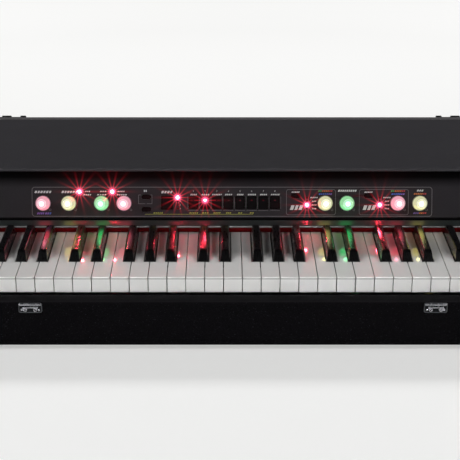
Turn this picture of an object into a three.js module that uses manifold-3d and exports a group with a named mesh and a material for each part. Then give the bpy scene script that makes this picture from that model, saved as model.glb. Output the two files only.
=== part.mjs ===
// A stage electric piano with seventy-three keys: a fabric-covered tray, a moulded hood over the rear,
// a leaning control panel with lit knobs and push buttons, and keys that swing on one pivot line.
// Millimetres. X runs along the keys to the player's right, Y from the player to the back, Z up from
// the floor. Y is counted from the front edge of the white keys, and the whole is centred at the end.
import * as THREE from "three";
import { mergeVertices } from "three/addons/utils/BufferGeometryUtils.js";
import Module from "manifold-3d";

const wasm = await Module();
wasm.setup();

// Driving dimensions of the whole instrument
const FOOT_HEIGHT = 9;
const KEY_LEVEL = 81; // white key tops above the underside of the case
const HOOD_RISE = 86; // top of the hood above the white key tops
const FRONT_REACH = 25; // front face ahead of the white keys
const HOOD_REAR = 382; // rear edge of the hood behind the front of the white keys
const SEAT_GAP = 0.3; // left between pieces that rest on each other
const JOIN = 0.4; // how far solids of one piece reach into each other

// Tray
const FRONT_WALL = 18;
const SIDE_WALL = 15;
const BACK_WALL = 15;
const BASE_BOARD = 12;
const SLIP_DROP = 20; // top of the front wall below the white key tops
const WALL_ROUND = 4;
const WALL_INNER_ROUND = 2;
const PLAN_ROUND = 8;
const END_FRONT_HEIGHT = 8; // top of an end wall above the white key tops, at the front
const END_TURN_HEIGHT = 20; // and where it turns up towards the hood
const END_TURN_Y = 116;
const END_SHOULDER_Y = 150;
const END_FRONT_ROUND = 12;
const END_TURN_ROUND = 34;
const END_SHOULDER_ROUND = 16;
const CLEAT = 12; // square section of the battens that carry the hood
const CLEAT_FRONT_Y = 210;

// Keyboard
const WHITE_KEYS = 43;
const OCTAVE_LETTERS = 7;
const FIRST_LETTER = 2; // the lowest key is an E, counted from C as 0
const KEY_PITCH = 23.5;
const KEY_GAP = 1;
const KEY_CORNER = 1.2;
const CAP_THICK = 2.2; // the lip that overhangs the front of a white key
const CAP_OVERHANG = 1.2;
const CAP_END = 168;
const SKIRT_DEPTH = 21;
const TAIL_DEPTH = 12;
const BLACK_FRONT = 49.5;
const BLACK_SLOPE = 9.3; // how far the front of a black key leans back
const BLACK_REAR = 145;
const BLACK_RISE = 12;
const BLACK_WIDTH = 13.4;
const BLACK_TOP_WIDTH = 9.4;
const BLACK_SHOULDER = 1.1; // height and inset of the rounded upper edges
const BLACK_BASE_INSET = 0.3; // where a black key narrows below the white key tops
const BLACK_CLEAR = 1;
const BLACK_TAIL_DEPTH = 9;
// Where each black key stands from the joint of the white keys below it, in shares of the key pitch
const BLACK_SHIFT_SHARES = { 0: -0.1, 1: 0.1, 3: -0.143, 4: 0, 5: 0.143 };

// Pivot line and the frame that carries the keys
const PIVOT_Y = 215;
const TAIL_BEHIND = 6; // key tails end this far behind the pivot
const HEEL_AHEAD = 9;
const RIDGE_WIDTH = 2.4;
const RIDGE_HEIGHT = 12;
const WHITE_BAR_Y = 186;
const BLACK_BAR_Y = 192;
const BAR_WIDTH = 11;
const WHITE_BAR_DEPTH = 8;
const BLACK_BAR_HEIGHT = 3.6;
const FRAME_WEB = 4;
const FRAME_FRONT_Y = 4;
const FRAME_STOP_Y = 34; // rear edge of the rail that stops the keys
const KEY_STOP_DROP = 33.5; // top of that rail below the white key tops
const FRAME_LIP_Y = 206;
const FRAME_LIP_THICK = 4;
const FRAME_REAR_Y = 236;
const LIP_CLEAR = 1.2;
const CHEEK_GAP = 1.2;
const CHEEK_WIDTH = 58.25;
const CHEEK_FRONT_RISE = 3;
const CHEEK_REAR_RISE = 7;
const CHEEK_ROUND = 9;

// Rail over the keys, its felt and the groove below the panel
const RAIL_FRONT_Y = 148;
const RAIL_BASE = 4.5; // underside above the white key tops
const RAIL_NOSE = 4.8;
const RAIL_NOSE_ROUND = 2.2;
const RAIL_SLOPE_RUN = 10;
const RAIL_SLOPE_RISE = 4.7;
const RAIL_GROOVE_DEPTH = 3;
const RAIL_GROOVE_WIDTH = 3.2;
const RAIL_REAR_Y = 172;
const FELT_Y = 149.8;
const FELT_THICK = 3.5;
const FELT_CLEAR = 0.6;

// Control panel: its own X is the instrument's, its Y runs up the slope, its Z points at the player
const PANEL_LEAN = THREE.MathUtils.degToRad(17);
const PANEL_BASE_Y = 160;
const PANEL_BASE_RISE = 16.8;
const PANEL_THICK = 2.5;
const PANEL_FLANGE_THICK = 2.5;
const PANEL_FLANGE_DEPTH = 18;
const FIELD_WIDTH = 540; // printed outline around the controls
const FIELD_HEIGHT = 40;
const FIELD_BASE = 1.3;

// Hood
const HOOD_THICK = 5;
const HOOD_NOSE_Y = 163.4;
const HOOD_REAR_ROUND = 1.6;
const HOOD_RIB_THICK = 4;
const HOOD_RIB_DEPTH = 14;
const HOOD_RIB_END = 24; // ribs stop this far inside the end walls
const HOOD_RIB_SHARES = [0.36, 0.66]; // places of the ribs from the nose to the rear edge

// Knobs: outline from the panel up, radii and heights
const KNOB_RADIUS = 10.4;
const KNOB_HEIGHT = 16.6;
const KNOB_LIFT = 0.4;
const KNOB_SIDES = 16;
const SHAFT_RADIUS = 3;
const SHAFT_HOLE = 4;
const SHAFT_REACH = 5.7;
// Radius and height along the knob's outline, in shares of its radius and of its height
const KNOB_OUTLINE_SHARES = [
  [1, 0],
  [1, 0.12],
  [0.92, 0.18],
  [0.7, 0.9],
  [0.6, 1],
  [0.36, 0.96],
];
const KNOB_ROW_SHARE = 0.455;
const KNOB_SHARES = {
  knob_volume: -0.472,
  knob_reverb: -0.408,
  knob_presence: -0.326,
  knob_depth: -0.27,
  knob_effect_1: 0.2325,
  knob_drive: 0.287,
  knob_effect_2: 0.414,
  knob_pan: 0.469,
};

// Push buttons
const BUTTON_GAP = 0.35;
const BUTTON_RISE = 2;
const BUTTON_BEVEL = 0.8;
const BUTTON_SINK = 4; // how far the cap reaches behind the panel's front
const BUTTON_TRAVEL = 1.2;
const FULL_ROUND_SHARE = 0.499; // of a thickness, for an edge that is round all over
const STEM_RADIUS = 1.6;
const STEM_REACH = 8;
const PROGRAM_BUTTONS = 8;
const PROGRAM_PITCH_SHARE = 0.02907;
const PROGRAM_SPACE = 2.7; // between one program button and the next
const PROGRAM_HEIGHT = 17.2;
const PROGRAM_CENTRE_SHARE = 0.0055;
const BUTTON_ROW_SHARE = 0.47;
const BANK_WIDTH = 16;
const BANK_HEIGHT = 18.6;
const BANK_SHARE = -0.1625;
const PILL_WIDTH = 12.8;
const PILL_HEIGHT = 6.2;
const MODE_SHARE = -0.2145;
const MODE_UPPER_SHARE = 0.6625;
const MODE_LOWER_SHARE = 0.24;
const EFFECT_WIDTH_SHARE = 0.1235; // printed box of one effect
const EFFECT_SHARES = [0.1972, 0.379];
const EFFECT_SELECT_SHARE = -0.31; // from the middle of that box, in shares of its width
const EFFECT_SELECT_ROW_SHARE = 0.7;
const EFFECT_LENS_SHARE = -0.079;

// Indicator lenses and the moulding that joins them behind the panel
const LENS_RADIUS = 1.4;
const LENS_HOLE = 1.75;
const LENS_RISE = 0.8;
const LENS_SIDES = 6;
const LENSES_PER_COLUMN = 4;
const LENS_PITCH = 5;
const LENS_TOP_SHARE = 0.643;
const LENS_BANK_SHARE = -0.136;
const LENS_SINGLE_SHARES = [-0.381, -0.299];
const LENS_SINGLE_ROW_SHARE = 0.842;
const GUIDE_WIDTH = 3;
const GUIDE_THICK = 2;
const GUIDE_CLEAR = 1.5;

// Boards
const BOARD_THICK = 1.6;
const BOARD_DEPTH = 12.4; // front of the panel board behind the panel's front
const BOARD_BASE = 4;
const BOARD_HEIGHT = 50;
const BOARD_MARGIN = 6;
const POST_RADIUS = 3;
const POST_SIDES = 6;
const POST_SHARES = [-0.49, -0.36, -0.18, 0.15, 0.34, 0.49];
const POST_ROW_SHARE = 1.17;
const ENCODER_SIZE = 12;
const SWITCH_SIZE = 6;

// Catch plates on the front wall
const CATCH_SHARE = 0.431; // of half the width of the case
const CATCH_WIDTH = 29;
const CATCH_HEIGHT = 13.6;
const CATCH_DROP = 2.8; // below the top of the front wall
const CATCH_ROUND = 2.4;
const CATCH_THICK = 1;
const CATCH_HOOK_WIDTH = 20;
const CATCH_HOOK_HEIGHT = 3.2;
const CATCH_HOOK_RISE = 2.4;
const CATCH_HOOK_DROP = 1; // below the upper edge of the plate
const CATCH_NECK_WIDTH = 9;
const CATCH_KEEPER_WIDTH = 13;
const CATCH_KEEPER_HEIGHT = 2.6;
const CATCH_KEEPER_BASE = 2; // above the lower edge of the plate
const CATCH_RIVET = 2;
const CATCH_RIVET_RISE = 0.8;
const CATCH_RIVET_INSET = 4; // from the ends of the plate
const CATCH_RIVET_BASE = 3.2; // above its lower edge

// Hinge halves on the back wall
const HINGE_SHARE = 0.5804; // of half the width of the case
const HINGE_WIDTH = 57.6;
const HINGE_LEAF_HEIGHT = 30;
const HINGE_LEAF_THICK = 2;
const HINGE_BARREL = 4;
const HINGE_PIN = 2;
const HINGE_MIDDLE = 14;
const HINGE_END = 8.3;
const HINGE_SIDES = 12;
const HINGE_SCREW = 3.6;
const HINGE_SCREW_RISE = 0.9;
const HINGE_SCREW_INSET = 7.2;

// Connectors on the back
const CONNECTOR_SHARE = -0.569; // of half the width of the case
const CONNECTOR_WIDTH = 250;
const CONNECTOR_HEIGHT = 44;
const CONNECTOR_THICK = 2;
const CONNECTOR_BORDER = 7;
const CONNECTOR_RISE = 45; // middle of the plate above the underside of the case
const CONNECTOR_ROUND = 3;
const SOCKET_SIDES = 12;
const SOCKET_BLOCK = 18;
const JACK_BLOCK = 15;
const JACK_RADIUS = 3.3;
const JACK_DEPTH = 14;
const NUT_RADIUS = 6.5;
const NUT_RISE = 2.2;
const NUT_SIDES = 6;
const JACK_BOARD_REACH = 44; // front edge of the board ahead of the back wall
const JACK_BOARD_SETBACK = 1.6; // its rear edge behind the mouths of the sockets
const JACK_SHARES = [-0.42, -0.3, -0.18, -0.06];
const MIDI_SHARE = 0.075;
const MIDI_RADIUS = 7.2;
const MIDI_BLOCK = 20;
const MIDI_DEPTH = 8;
const USB_SHARE = 0.19;
const USB_WIDTH = 9;
const USB_HEIGHT = 8;
const USB_BLOCK = 13;
const ROCKER_SHARE = 0.295;
const ROCKER_WIDTH = 19;
const ROCKER_SLOT = 14;
const ROCKER_WALL = 1.6;
const ROCKER_HALF = 6;
const ROCKER_RISE = 0.8; // dip between its two faces, above the plate
const ROCKER_END_RISE = 2.2; // outer ends of the faces, above the plate
const ROCKER_ROUND = 0.8;
const ROCKER_BACK = 5;
const ROCKER_BACK_HALF = 3;
const ROCKER_PIVOT = 3; // pivot line behind the plate's outer face
const ROCKER_TILT = THREE.MathUtils.degToRad(8); // to either side of its middle
const INLET_SHARE = 0.415;
const INLET_WIDTH = 24;
const INLET_HEIGHT = 16;
const INLET_BLOCK = 28;
const INLET_DEPTH = 14;

// Feet
const FOOT_RADIUS = 17;
const FOOT_TOP_RADIUS = 15;
const FOOT_SIDES = 16;
const FOOT_EDGE = 2.2; // height of the straight lower edge
const FOOT_INSET = 60;

// Facets of rounded corners
const ROUND_STEPS = 4;
const NOSE_STEPS = 5;
const PLATE_STEPS = 3;
const SMALL_STEPS = 2;
const KEY_CORNER_STEPS = 1;

// Places that follow from the sizes above
const KEYS_HALF = (WHITE_KEYS * KEY_PITCH) / 2;
const SPAN_HALF = KEYS_HALF + CHEEK_GAP + CHEEK_WIDTH;
const INNER_HALF = SPAN_HALF + SEAT_GAP;
const CASE_HALF = INNER_HALF + SIDE_WALL;
const CASE_Z = FOOT_HEIGHT;
const KEY_Z = CASE_Z + KEY_LEVEL;
const HOOD_Z = KEY_Z + HOOD_RISE;
const HOOD_UNDER_Z = HOOD_Z - HOOD_THICK;
const SLIP_Z = KEY_Z - SLIP_DROP;
const BASE_Z = CASE_Z + BASE_BOARD;
const FRONT_Y = -FRONT_REACH;
const BACK_INNER_Y = HOOD_REAR + SEAT_GAP;
const BACK_Y = BACK_INNER_Y + BACK_WALL;
const TAIL_END = PIVOT_Y + TAIL_BEHIND;
const PANEL_BASE_Z = KEY_Z + PANEL_BASE_RISE;
const PANEL_HEIGHT = (HOOD_UNDER_Z - SEAT_GAP - PANEL_BASE_Z) / Math.cos(PANEL_LEAN);
const CONNECTOR_X = CONNECTOR_SHARE * CASE_HALF;
const PLATE_Y = BACK_Y + SEAT_GAP + CONNECTOR_THICK;
const PROGRAM_PITCH = PROGRAM_PITCH_SHARE * FIELD_WIDTH;
const PROGRAM_WIDTH = PROGRAM_PITCH - PROGRAM_SPACE;
const EFFECT_WIDTH = EFFECT_WIDTH_SHARE * FIELD_WIDTH;
const CONNECTOR_Z = CASE_Z + CONNECTOR_RISE;
const HINGE_PIN_Y = BACK_Y + SEAT_GAP + HINGE_BARREL;
const HINGE_PIN_Z = HOOD_Z - HINGE_BARREL;
const REAR_REACH = HINGE_PIN_Y + HINGE_BARREL;
const FRONT_MOST = FRONT_Y - SEAT_GAP - CATCH_THICK - CATCH_HOOK_RISE;

// Axes of a side outline drawn in Y and Z and carried along X
const ALONG_X = new THREE.Matrix4().makeBasis(
  new THREE.Vector3(0, 1, 0),
  new THREE.Vector3(0, 0, 1),
  new THREE.Vector3(1, 0, 0),
);
// Axes of a front outline drawn in X and Z and carried towards the back
const ALONG_Y = new THREE.Matrix4().makeBasis(
  new THREE.Vector3(-1, 0, 0),
  new THREE.Vector3(0, 0, 1),
  new THREE.Vector3(0, 1, 0),
);

// Materials, one for each finish
const finish = (color, roughness, metalness = 0) =>
  new THREE.MeshStandardMaterial({ color, roughness, metalness });
const FINISHES = {
  tolex: () => finish(0x141316, 0.75),
  hood: () => finish(0x323134, 0.6),
  panel: () => finish(0x262426, 0.65),
  rail: () => finish(0x2c2b2e, 0.4),
  felt: () => finish(0x7a0508, 0.95),
  ivory: () => finish(0xe9e7e2, 0.35),
  ebony: () => finish(0x0b0b0c, 0.3),
  button: () => finish(0x0d0d0e, 0.5),
  rose: () => finish(0xffb3c4, 0.35),
  amber: () => finish(0xf3f0b0, 0.35),
  mint: () => finish(0x8cf0b0, 0.35),
  lens: () => finish(0xd01828, 0.3),
  steel: () => finish(0x8f9094, 0.35, 0.9),
  board: () => finish(0x14502a, 0.6),
  rubber: () => finish(0x18181a, 0.9),
};

// Corners given as [a, b, radius] become the points of a closed outline, with arcs at rounded corners
function outline(corners, steps = ROUND_STEPS) {
  const points = [];
  corners.forEach(([a, b, radius = 0], i) => {
    const corner = new THREE.Vector2(a, b);
    if (radius === 0) {
      points.push(corner);
      return;
    }
    const before = corners.at(i - 1);
    const after = corners[(i + 1) % corners.length];
    const back = new THREE.Vector2(before[0], before[1]).sub(corner).normalize();
    const on = new THREE.Vector2(after[0], after[1]).sub(corner).normalize();
    const half = Math.acos(back.dot(on)) / 2;
    const middle = back.clone().add(on).normalize();
    const centre = middle.multiplyScalar(radius / Math.sin(half)).add(corner);
    const reach = radius / Math.tan(half);
    const start = corner.clone().addScaledVector(back, reach).sub(centre);
    const end = corner.clone().addScaledVector(on, reach).sub(centre);
    const turn = Math.atan2(start.cross(end), start.dot(end));
    for (let k = 0; k <= steps; k++) {
      const spoke = start.clone().rotateAround(new THREE.Vector2(), (turn * k) / steps);
      points.push(spoke.add(centre));
    }
  });
  return points;
}

// An outline carried straight up from one height to another
function upright(points, low, high) {
  const geometry = new THREE.ExtrudeGeometry(new THREE.Shape(points), {
    depth: high - low,
    bevelEnabled: false,
  });
  return geometry.translate(0, 0, low);
}

// A side outline in Y and Z, carried from one X to another
const lengthwise = (points, low, high) => upright(points, low, high).applyMatrix4(ALONG_X);

// A front outline in -X and Z, carried from one Y to another
const backwards = (points, low, high) => upright(points, low, high).applyMatrix4(ALONG_Y);

// A box between two corners
function block(low, high) {
  const size = new THREE.Vector3(...high).sub(new THREE.Vector3(...low));
  const centre = new THREE.Vector3(...low).addScaledVector(size, 0.5);
  return new THREE.BoxGeometry(size.x, size.y, size.z).translate(centre.x, centre.y, centre.z);
}

// An upright round bar
function bar(x, y, low, high, radius, sides) {
  const geometry = new THREE.CylinderGeometry(radius, radius, high - low, sides);
  return geometry.rotateX(Math.PI / 2).translate(x, y, (low + high) / 2);
}

// A round bar that points at the back of the instrument
function rearBar(x, low, high, z, radius, sides) {
  const geometry = new THREE.CylinderGeometry(radius, radius, high - low, sides);
  return geometry.translate(x, (low + high) / 2, z);
}

// A round bar along X
function crossBar(low, high, y, z, radius, sides) {
  const geometry = new THREE.CylinderGeometry(radius, radius, high - low, sides);
  return geometry.rotateZ(Math.PI / 2).translate((low + high) / 2, y, z);
}

// Rectangles stacked at rising heights, as a closed body: each level is [z, x0, x1, y0, y1]
function stack(levels) {
  const corners = levels.flatMap(([z, x0, x1, y0, y1]) => [
    [x0, y0, z],
    [x1, y0, z],
    [x1, y1, z],
    [x0, y1, z],
  ]);
  const faces = [[0, 2, 1], [0, 3, 2]];
  for (let level = 1; level < levels.length; level++) {
    for (let side = 0; side < 4; side++) {
      const next = (side + 1) % 4;
      const low = (level - 1) * 4;
      const high = level * 4;
      faces.push([low + side, low + next, high + next], [low + side, high + next, high + side]);
    }
  }
  const top = (levels.length - 1) * 4;
  faces.push([top, top + 1, top + 2], [top, top + 2, top + 3]);
  const geometry = new THREE.BufferGeometry();
  geometry.setAttribute("position", new THREE.Float32BufferAttribute(corners.flat(), 3));
  return geometry.setIndex(faces.flat());
}

// A closed geometry as a solid that can be joined and cut
function solid(geometry) {
  const bare = new THREE.BufferGeometry();
  bare.setAttribute("position", geometry.getAttribute("position"));
  bare.setIndex(geometry.index);
  const merged = mergeVertices(bare);
  const mesh = new wasm.Mesh({
    numProp: 3,
    vertProperties: merged.getAttribute("position").array,
    triVerts: new Uint32Array(merged.index.array),
  });
  return new wasm.Manifold(mesh);
}

// The geometry of a joined or cut solid
function shaped(body) {
  const mesh = body.getMesh();
  const geometry = new THREE.BufferGeometry();
  geometry.setAttribute("position", new THREE.BufferAttribute(mesh.vertProperties, 3));
  geometry.setIndex(new THREE.BufferAttribute(mesh.triVerts, 1));
  return geometry;
}

const joined = (geometries) => geometries.map(solid).reduce((whole, next) => whole.add(next));
const cut = (body, geometries) =>
  geometries.map(solid).reduce((whole, next) => whole.subtract(next), body);

const instrument = new THREE.Group();
const panelGroup = new THREE.Group();
panelGroup.position.set(0, PANEL_BASE_Y, PANEL_BASE_Z);
panelGroup.rotation.x = Math.PI / 2 - PANEL_LEAN;
instrument.add(panelGroup);

// Adds one named piece to a group
function add(group, name, geometry, finishName) {
  const mesh = new THREE.Mesh(geometry, FINISHES[finishName]());
  mesh.name = name;
  group.add(mesh);
  return mesh;
}

// Tray of glued boards under one fabric cover
function caseTray() {
  const frontWall = lengthwise(
    outline([
      [FRONT_Y, CASE_Z],
      [FRONT_Y + FRONT_WALL, CASE_Z],
      [FRONT_Y + FRONT_WALL, SLIP_Z, WALL_INNER_ROUND],
      [FRONT_Y, SLIP_Z, WALL_ROUND],
    ]),
    -CASE_HALF,
    CASE_HALF,
  );
  const backWall = lengthwise(
    outline([
      [BACK_INNER_Y, CASE_Z],
      [BACK_Y, CASE_Z],
      [BACK_Y, HOOD_Z, WALL_ROUND],
      [BACK_INNER_Y, HOOD_Z],
    ]),
    -CASE_HALF,
    CASE_HALF,
  );
  const endOutline = outline([
    [FRONT_Y, CASE_Z],
    [BACK_Y, CASE_Z],
    [BACK_Y, HOOD_Z, WALL_ROUND],
    [END_SHOULDER_Y, HOOD_Z, END_SHOULDER_ROUND],
    [END_TURN_Y, KEY_Z + END_TURN_HEIGHT, END_TURN_ROUND],
    [FRONT_Y, KEY_Z + END_FRONT_HEIGHT, END_FRONT_ROUND],
  ]);
  const base = block([-CASE_HALF, FRONT_Y, CASE_Z], [CASE_HALF, BACK_Y, BASE_Z]);
  const cleatTop = HOOD_UNDER_Z - SEAT_GAP;
  const cleatLow = cleatTop - CLEAT;
  const boards = [base, frontWall, backWall];
  for (const side of [-1, 1]) {
    const faces = [side * CASE_HALF, side * INNER_HALF].sort((a, b) => a - b);
    boards.push(lengthwise(endOutline, ...faces));
    const cleat = [side * (INNER_HALF + JOIN), side * (INNER_HALF - CLEAT)].sort((a, b) => a - b);
    boards.push(
      block([cleat[0], CLEAT_FRONT_Y, cleatLow], [cleat[1], BACK_INNER_Y + JOIN, cleatTop]),
    );
  }
  boards.push(
    block(
      [-INNER_HALF - JOIN, BACK_INNER_Y - CLEAT, cleatLow],
      [INNER_HALF + JOIN, BACK_INNER_Y + JOIN, cleatTop],
    ),
  );
  const plan = outline([
    [-CASE_HALF, FRONT_Y, PLAN_ROUND],
    [CASE_HALF, FRONT_Y, PLAN_ROUND],
    [CASE_HALF, BACK_Y, PLAN_ROUND],
    [-CASE_HALF, BACK_Y, PLAN_ROUND],
  ]);
  const body = joined(boards).intersect(solid(upright(plan, CASE_Z - JOIN, HOOD_Z + JOIN)));
  const halfWidth = CONNECTOR_WIDTH / 2 - CONNECTOR_BORDER;
  const halfHeight = CONNECTOR_HEIGHT / 2 - CONNECTOR_BORDER + SEAT_GAP;
  const hatch = block(
    [CONNECTOR_X - halfWidth, BACK_INNER_Y - JOIN, CONNECTOR_Z - halfHeight],
    [CONNECTOR_X + halfWidth, BACK_Y + JOIN, CONNECTOR_Z + halfHeight],
  );
  add(instrument, "case_tray", shaped(cut(body, [hatch])), "tolex");
}

// Blocks at both ends of the keys, stepped down at the back to carry the rail
function cheeks() {
  const inner = KEYS_HALF + CHEEK_GAP;
  const low = BASE_Z + SEAT_GAP;
  const profile = outline([
    [FRONT_Y + FRONT_WALL + SEAT_GAP, low],
    [FRAME_REAR_Y, low],
    [FRAME_REAR_Y, KEY_Z + RAIL_BASE - SEAT_GAP],
    [RAIL_FRONT_Y - KEY_GAP, KEY_Z + RAIL_BASE - SEAT_GAP],
    [RAIL_FRONT_Y - KEY_GAP, KEY_Z + CHEEK_REAR_RISE],
    [FRONT_Y + FRONT_WALL + SEAT_GAP, KEY_Z + CHEEK_FRONT_RISE, CHEEK_ROUND],
  ]);
  add(instrument, "cheek_block_left", lengthwise(profile, -SPAN_HALF, -inner), "ebony");
  add(instrument, "cheek_block_right", lengthwise(profile, inner, SPAN_HALF), "ebony");
}

// Long extrusion that stops the keys at the front and holds their tails down on the pivot ridge
function keyFrame() {
  const low = BASE_Z + SEAT_GAP;
  const floor = low + FRAME_WEB;
  const ridge = KEY_Z - TAIL_DEPTH - SEAT_GAP;
  const trough = ridge - RIDGE_HEIGHT;
  const lip = KEY_Z + LIP_CLEAR;
  const profile = outline([
    [FRAME_FRONT_Y, low],
    [FRAME_REAR_Y, low],
    [FRAME_REAR_Y, lip + FRAME_LIP_THICK],
    [FRAME_LIP_Y, lip + FRAME_LIP_THICK],
    [FRAME_LIP_Y, lip],
    [FRAME_REAR_Y - FRAME_WEB, lip],
    [FRAME_REAR_Y - FRAME_WEB, trough],
    [PIVOT_Y + FRAME_WEB, trough],
    [PIVOT_Y + RIDGE_WIDTH / 2, ridge],
    [PIVOT_Y - RIDGE_WIDTH / 2, ridge],
    [PIVOT_Y - FRAME_WEB, trough],
    [PIVOT_Y - FRAME_WEB, floor],
    [FRAME_STOP_Y, floor],
    [FRAME_STOP_Y, KEY_Z - KEY_STOP_DROP],
    [FRAME_FRONT_Y, KEY_Z - KEY_STOP_DROP],
  ]);
  add(instrument, "key_frame", lengthwise(profile, -KEYS_HALF, KEYS_HALF), "steel");
}

// The letter of a white key counted from C, and whether a black key follows it
const letterOf = (index) => (index + FIRST_LETTER) % OCTAVE_LETTERS;
const hasBlack = (index) =>
  index >= 0 && index < WHITE_KEYS - 1 && letterOf(index) in BLACK_SHIFT_SHARES;
const whiteLeft = (index) => index * KEY_PITCH - KEYS_HALF;
const blackCentre = (index) =>
  whiteLeft(index + 1) + BLACK_SHIFT_SHARES[letterOf(index)] * KEY_PITCH;

// Left and right edges of a white key at its head and along its tail
function whiteEdges(index) {
  const head = [whiteLeft(index) + KEY_GAP / 2, whiteLeft(index + 1) - KEY_GAP / 2];
  const room = BLACK_WIDTH / 2 + BLACK_CLEAR;
  const tail = [
    hasBlack(index - 1) ? blackCentre(index - 1) + room : head[0],
    hasBlack(index) ? blackCentre(index) - room : head[1],
  ];
  return { head, tail };
}

// Plan of a white key between two places along it
function whitePlan(index, front, rear, corner) {
  const { head, tail } = whiteEdges(index);
  const step = BLACK_FRONT - BLACK_CLEAR;
  const right = [[head[1], step], [tail[1], step]];
  const left = [[tail[0], step], [head[0], step]];
  return outline(
    [
      [head[0], front, corner],
      [head[1], front, corner],
      ...(tail[1] === head[1] ? [] : right),
      [tail[1], rear],
      [tail[0], rear],
      ...(tail[0] === head[0] ? [] : left),
    ],
    KEY_CORNER_STEPS,
  );
}

// One white key: overhanging cap, body with its tail, and the deep front skirt
function whiteKey(index) {
  const { head } = whiteEdges(index);
  const under = KEY_Z - CAP_THICK;
  return [
    upright(whitePlan(index, 0, CAP_END, KEY_CORNER), under, KEY_Z),
    upright(whitePlan(index, CAP_OVERHANG, TAIL_END, 0), KEY_Z - TAIL_DEPTH, under + JOIN),
    block(
      [head[0], CAP_OVERHANG, KEY_Z - SKIRT_DEPTH],
      [head[1], BLACK_FRONT - BLACK_CLEAR, KEY_Z - TAIL_DEPTH + JOIN],
    ),
  ];
}

// One black key: sloping front and sides above the white keys, a tail and a heel on the pivot
function blackKey(index) {
  const x = blackCentre(index);
  const half = BLACK_WIDTH / 2;
  const topHalf = BLACK_TOP_WIDTH / 2;
  const shoulder = KEY_Z + BLACK_RISE - BLACK_SHOULDER;
  const raised = stack([
    [KEY_Z - JOIN, x - half, x + half, BLACK_FRONT, BLACK_REAR],
    [KEY_Z, x - half, x + half, BLACK_FRONT, BLACK_REAR],
    [shoulder, x - topHalf, x + topHalf, BLACK_FRONT + BLACK_SLOPE, BLACK_REAR],
    [
      KEY_Z + BLACK_RISE,
      x - topHalf + BLACK_SHOULDER,
      x + topHalf - BLACK_SHOULDER,
      BLACK_FRONT + BLACK_SLOPE + BLACK_SHOULDER * 2,
      BLACK_REAR - BLACK_SHOULDER,
    ],
  ]);
  const side = half - BLACK_BASE_INSET;
  const tailLow = KEY_Z - BLACK_TAIL_DEPTH;
  return [
    raised,
    block([x - side, BLACK_FRONT + BLACK_BASE_INSET, tailLow], [x + side, TAIL_END, KEY_Z]),
    block(
      [x - side, PIVOT_Y - HEEL_AHEAD, KEY_Z - TAIL_DEPTH],
      [x + side, TAIL_END, tailLow + JOIN],
    ),
  ];
}

// Keys of one section, joined by a bar under the white tails or over the black ones
function whiteSection(first, last) {
  const pieces = [];
  for (let index = first; index <= last; index++) pieces.push(...whiteKey(index));
  const high = KEY_Z - TAIL_DEPTH + JOIN;
  pieces.push(
    block(
      [whiteEdges(first).tail[0], WHITE_BAR_Y, high - WHITE_BAR_DEPTH],
      [whiteEdges(last).tail[1], WHITE_BAR_Y + BAR_WIDTH, high],
    ),
  );
  return shaped(joined(pieces));
}

function blackSection(first, last) {
  const pieces = [];
  const centres = [];
  for (let index = first; index <= last; index++) {
    if (!hasBlack(index)) continue;
    pieces.push(...blackKey(index));
    centres.push(blackCentre(index));
  }
  const side = BLACK_WIDTH / 2 - BLACK_BASE_INSET;
  pieces.push(
    block(
      [centres[0] - side, BLACK_BAR_Y, KEY_Z - JOIN],
      [centres.at(-1) + side, BLACK_BAR_Y + BAR_WIDTH, KEY_Z + BLACK_BAR_HEIGHT],
    ),
  );
  return shaped(joined(pieces));
}

// The middle octave has a piece for each key, and the rest swing in sections
const LETTER_NAMES = ["c", "d", "e", "f", "g", "a", "b"];
const WHITE_SECTIONS = {
  white_keys_e1_to_b2: [0, 11],
  white_keys_c3_to_b3: [12, 18],
  white_keys_c5_to_b5: [26, 32],
  white_keys_c6_to_e7: [33, 42],
};
const BLACK_SECTIONS = { black_keys_low: [0, 18], black_keys_high: [26, 41] };
const MIDDLE_OCTAVE = [19, 25];

function keys() {
  for (const [name, range] of Object.entries(WHITE_SECTIONS))
    add(instrument, name, whiteSection(...range), "ivory");
  for (const [name, range] of Object.entries(BLACK_SECTIONS))
    add(instrument, name, blackSection(...range), "ebony");
  for (let index = MIDDLE_OCTAVE[0]; index <= MIDDLE_OCTAVE[1]; index++) {
    const letter = LETTER_NAMES[letterOf(index)];
    add(instrument, `key_${letter}4`, shaped(joined(whiteKey(index))), "ivory");
    if (hasBlack(index))
      add(instrument, `key_${letter}_sharp4`, shaped(joined(blackKey(index))), "ebony");
  }
}

// Rail with a rounded lower nose, a sloping face, and the ledge that the panel stands on
function keyRail() {
  const low = KEY_Z + RAIL_BASE;
  const slopeY = RAIL_FRONT_Y + RAIL_SLOPE_RUN;
  const slopeZ = low + RAIL_NOSE + RAIL_SLOPE_RISE;
  const ledge = PANEL_BASE_Z - PANEL_THICK * Math.sin(PANEL_LEAN) - SEAT_GAP;
  const profile = outline(
    [
      [RAIL_REAR_Y, low],
      [RAIL_REAR_Y, ledge],
      [slopeY + RAIL_GROOVE_WIDTH, ledge],
      [slopeY + RAIL_GROOVE_WIDTH, slopeZ - RAIL_GROOVE_DEPTH],
      [slopeY, slopeZ - RAIL_GROOVE_DEPTH],
      [slopeY, slopeZ],
      [RAIL_FRONT_Y, low + RAIL_NOSE, RAIL_NOSE_ROUND],
      [RAIL_FRONT_Y, low, RAIL_NOSE_ROUND],
    ],
    ROUND_STEPS,
  );
  add(instrument, "key_rail", lengthwise(profile, -SPAN_HALF, SPAN_HALF), "rail");
  const felt = block(
    [-KEYS_HALF, FELT_Y, KEY_Z + FELT_CLEAR],
    [KEYS_HALF, FELT_Y + FELT_THICK, low - SEAT_GAP],
  );
  add(instrument, "felt_strip", felt, "felt");
}

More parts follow.
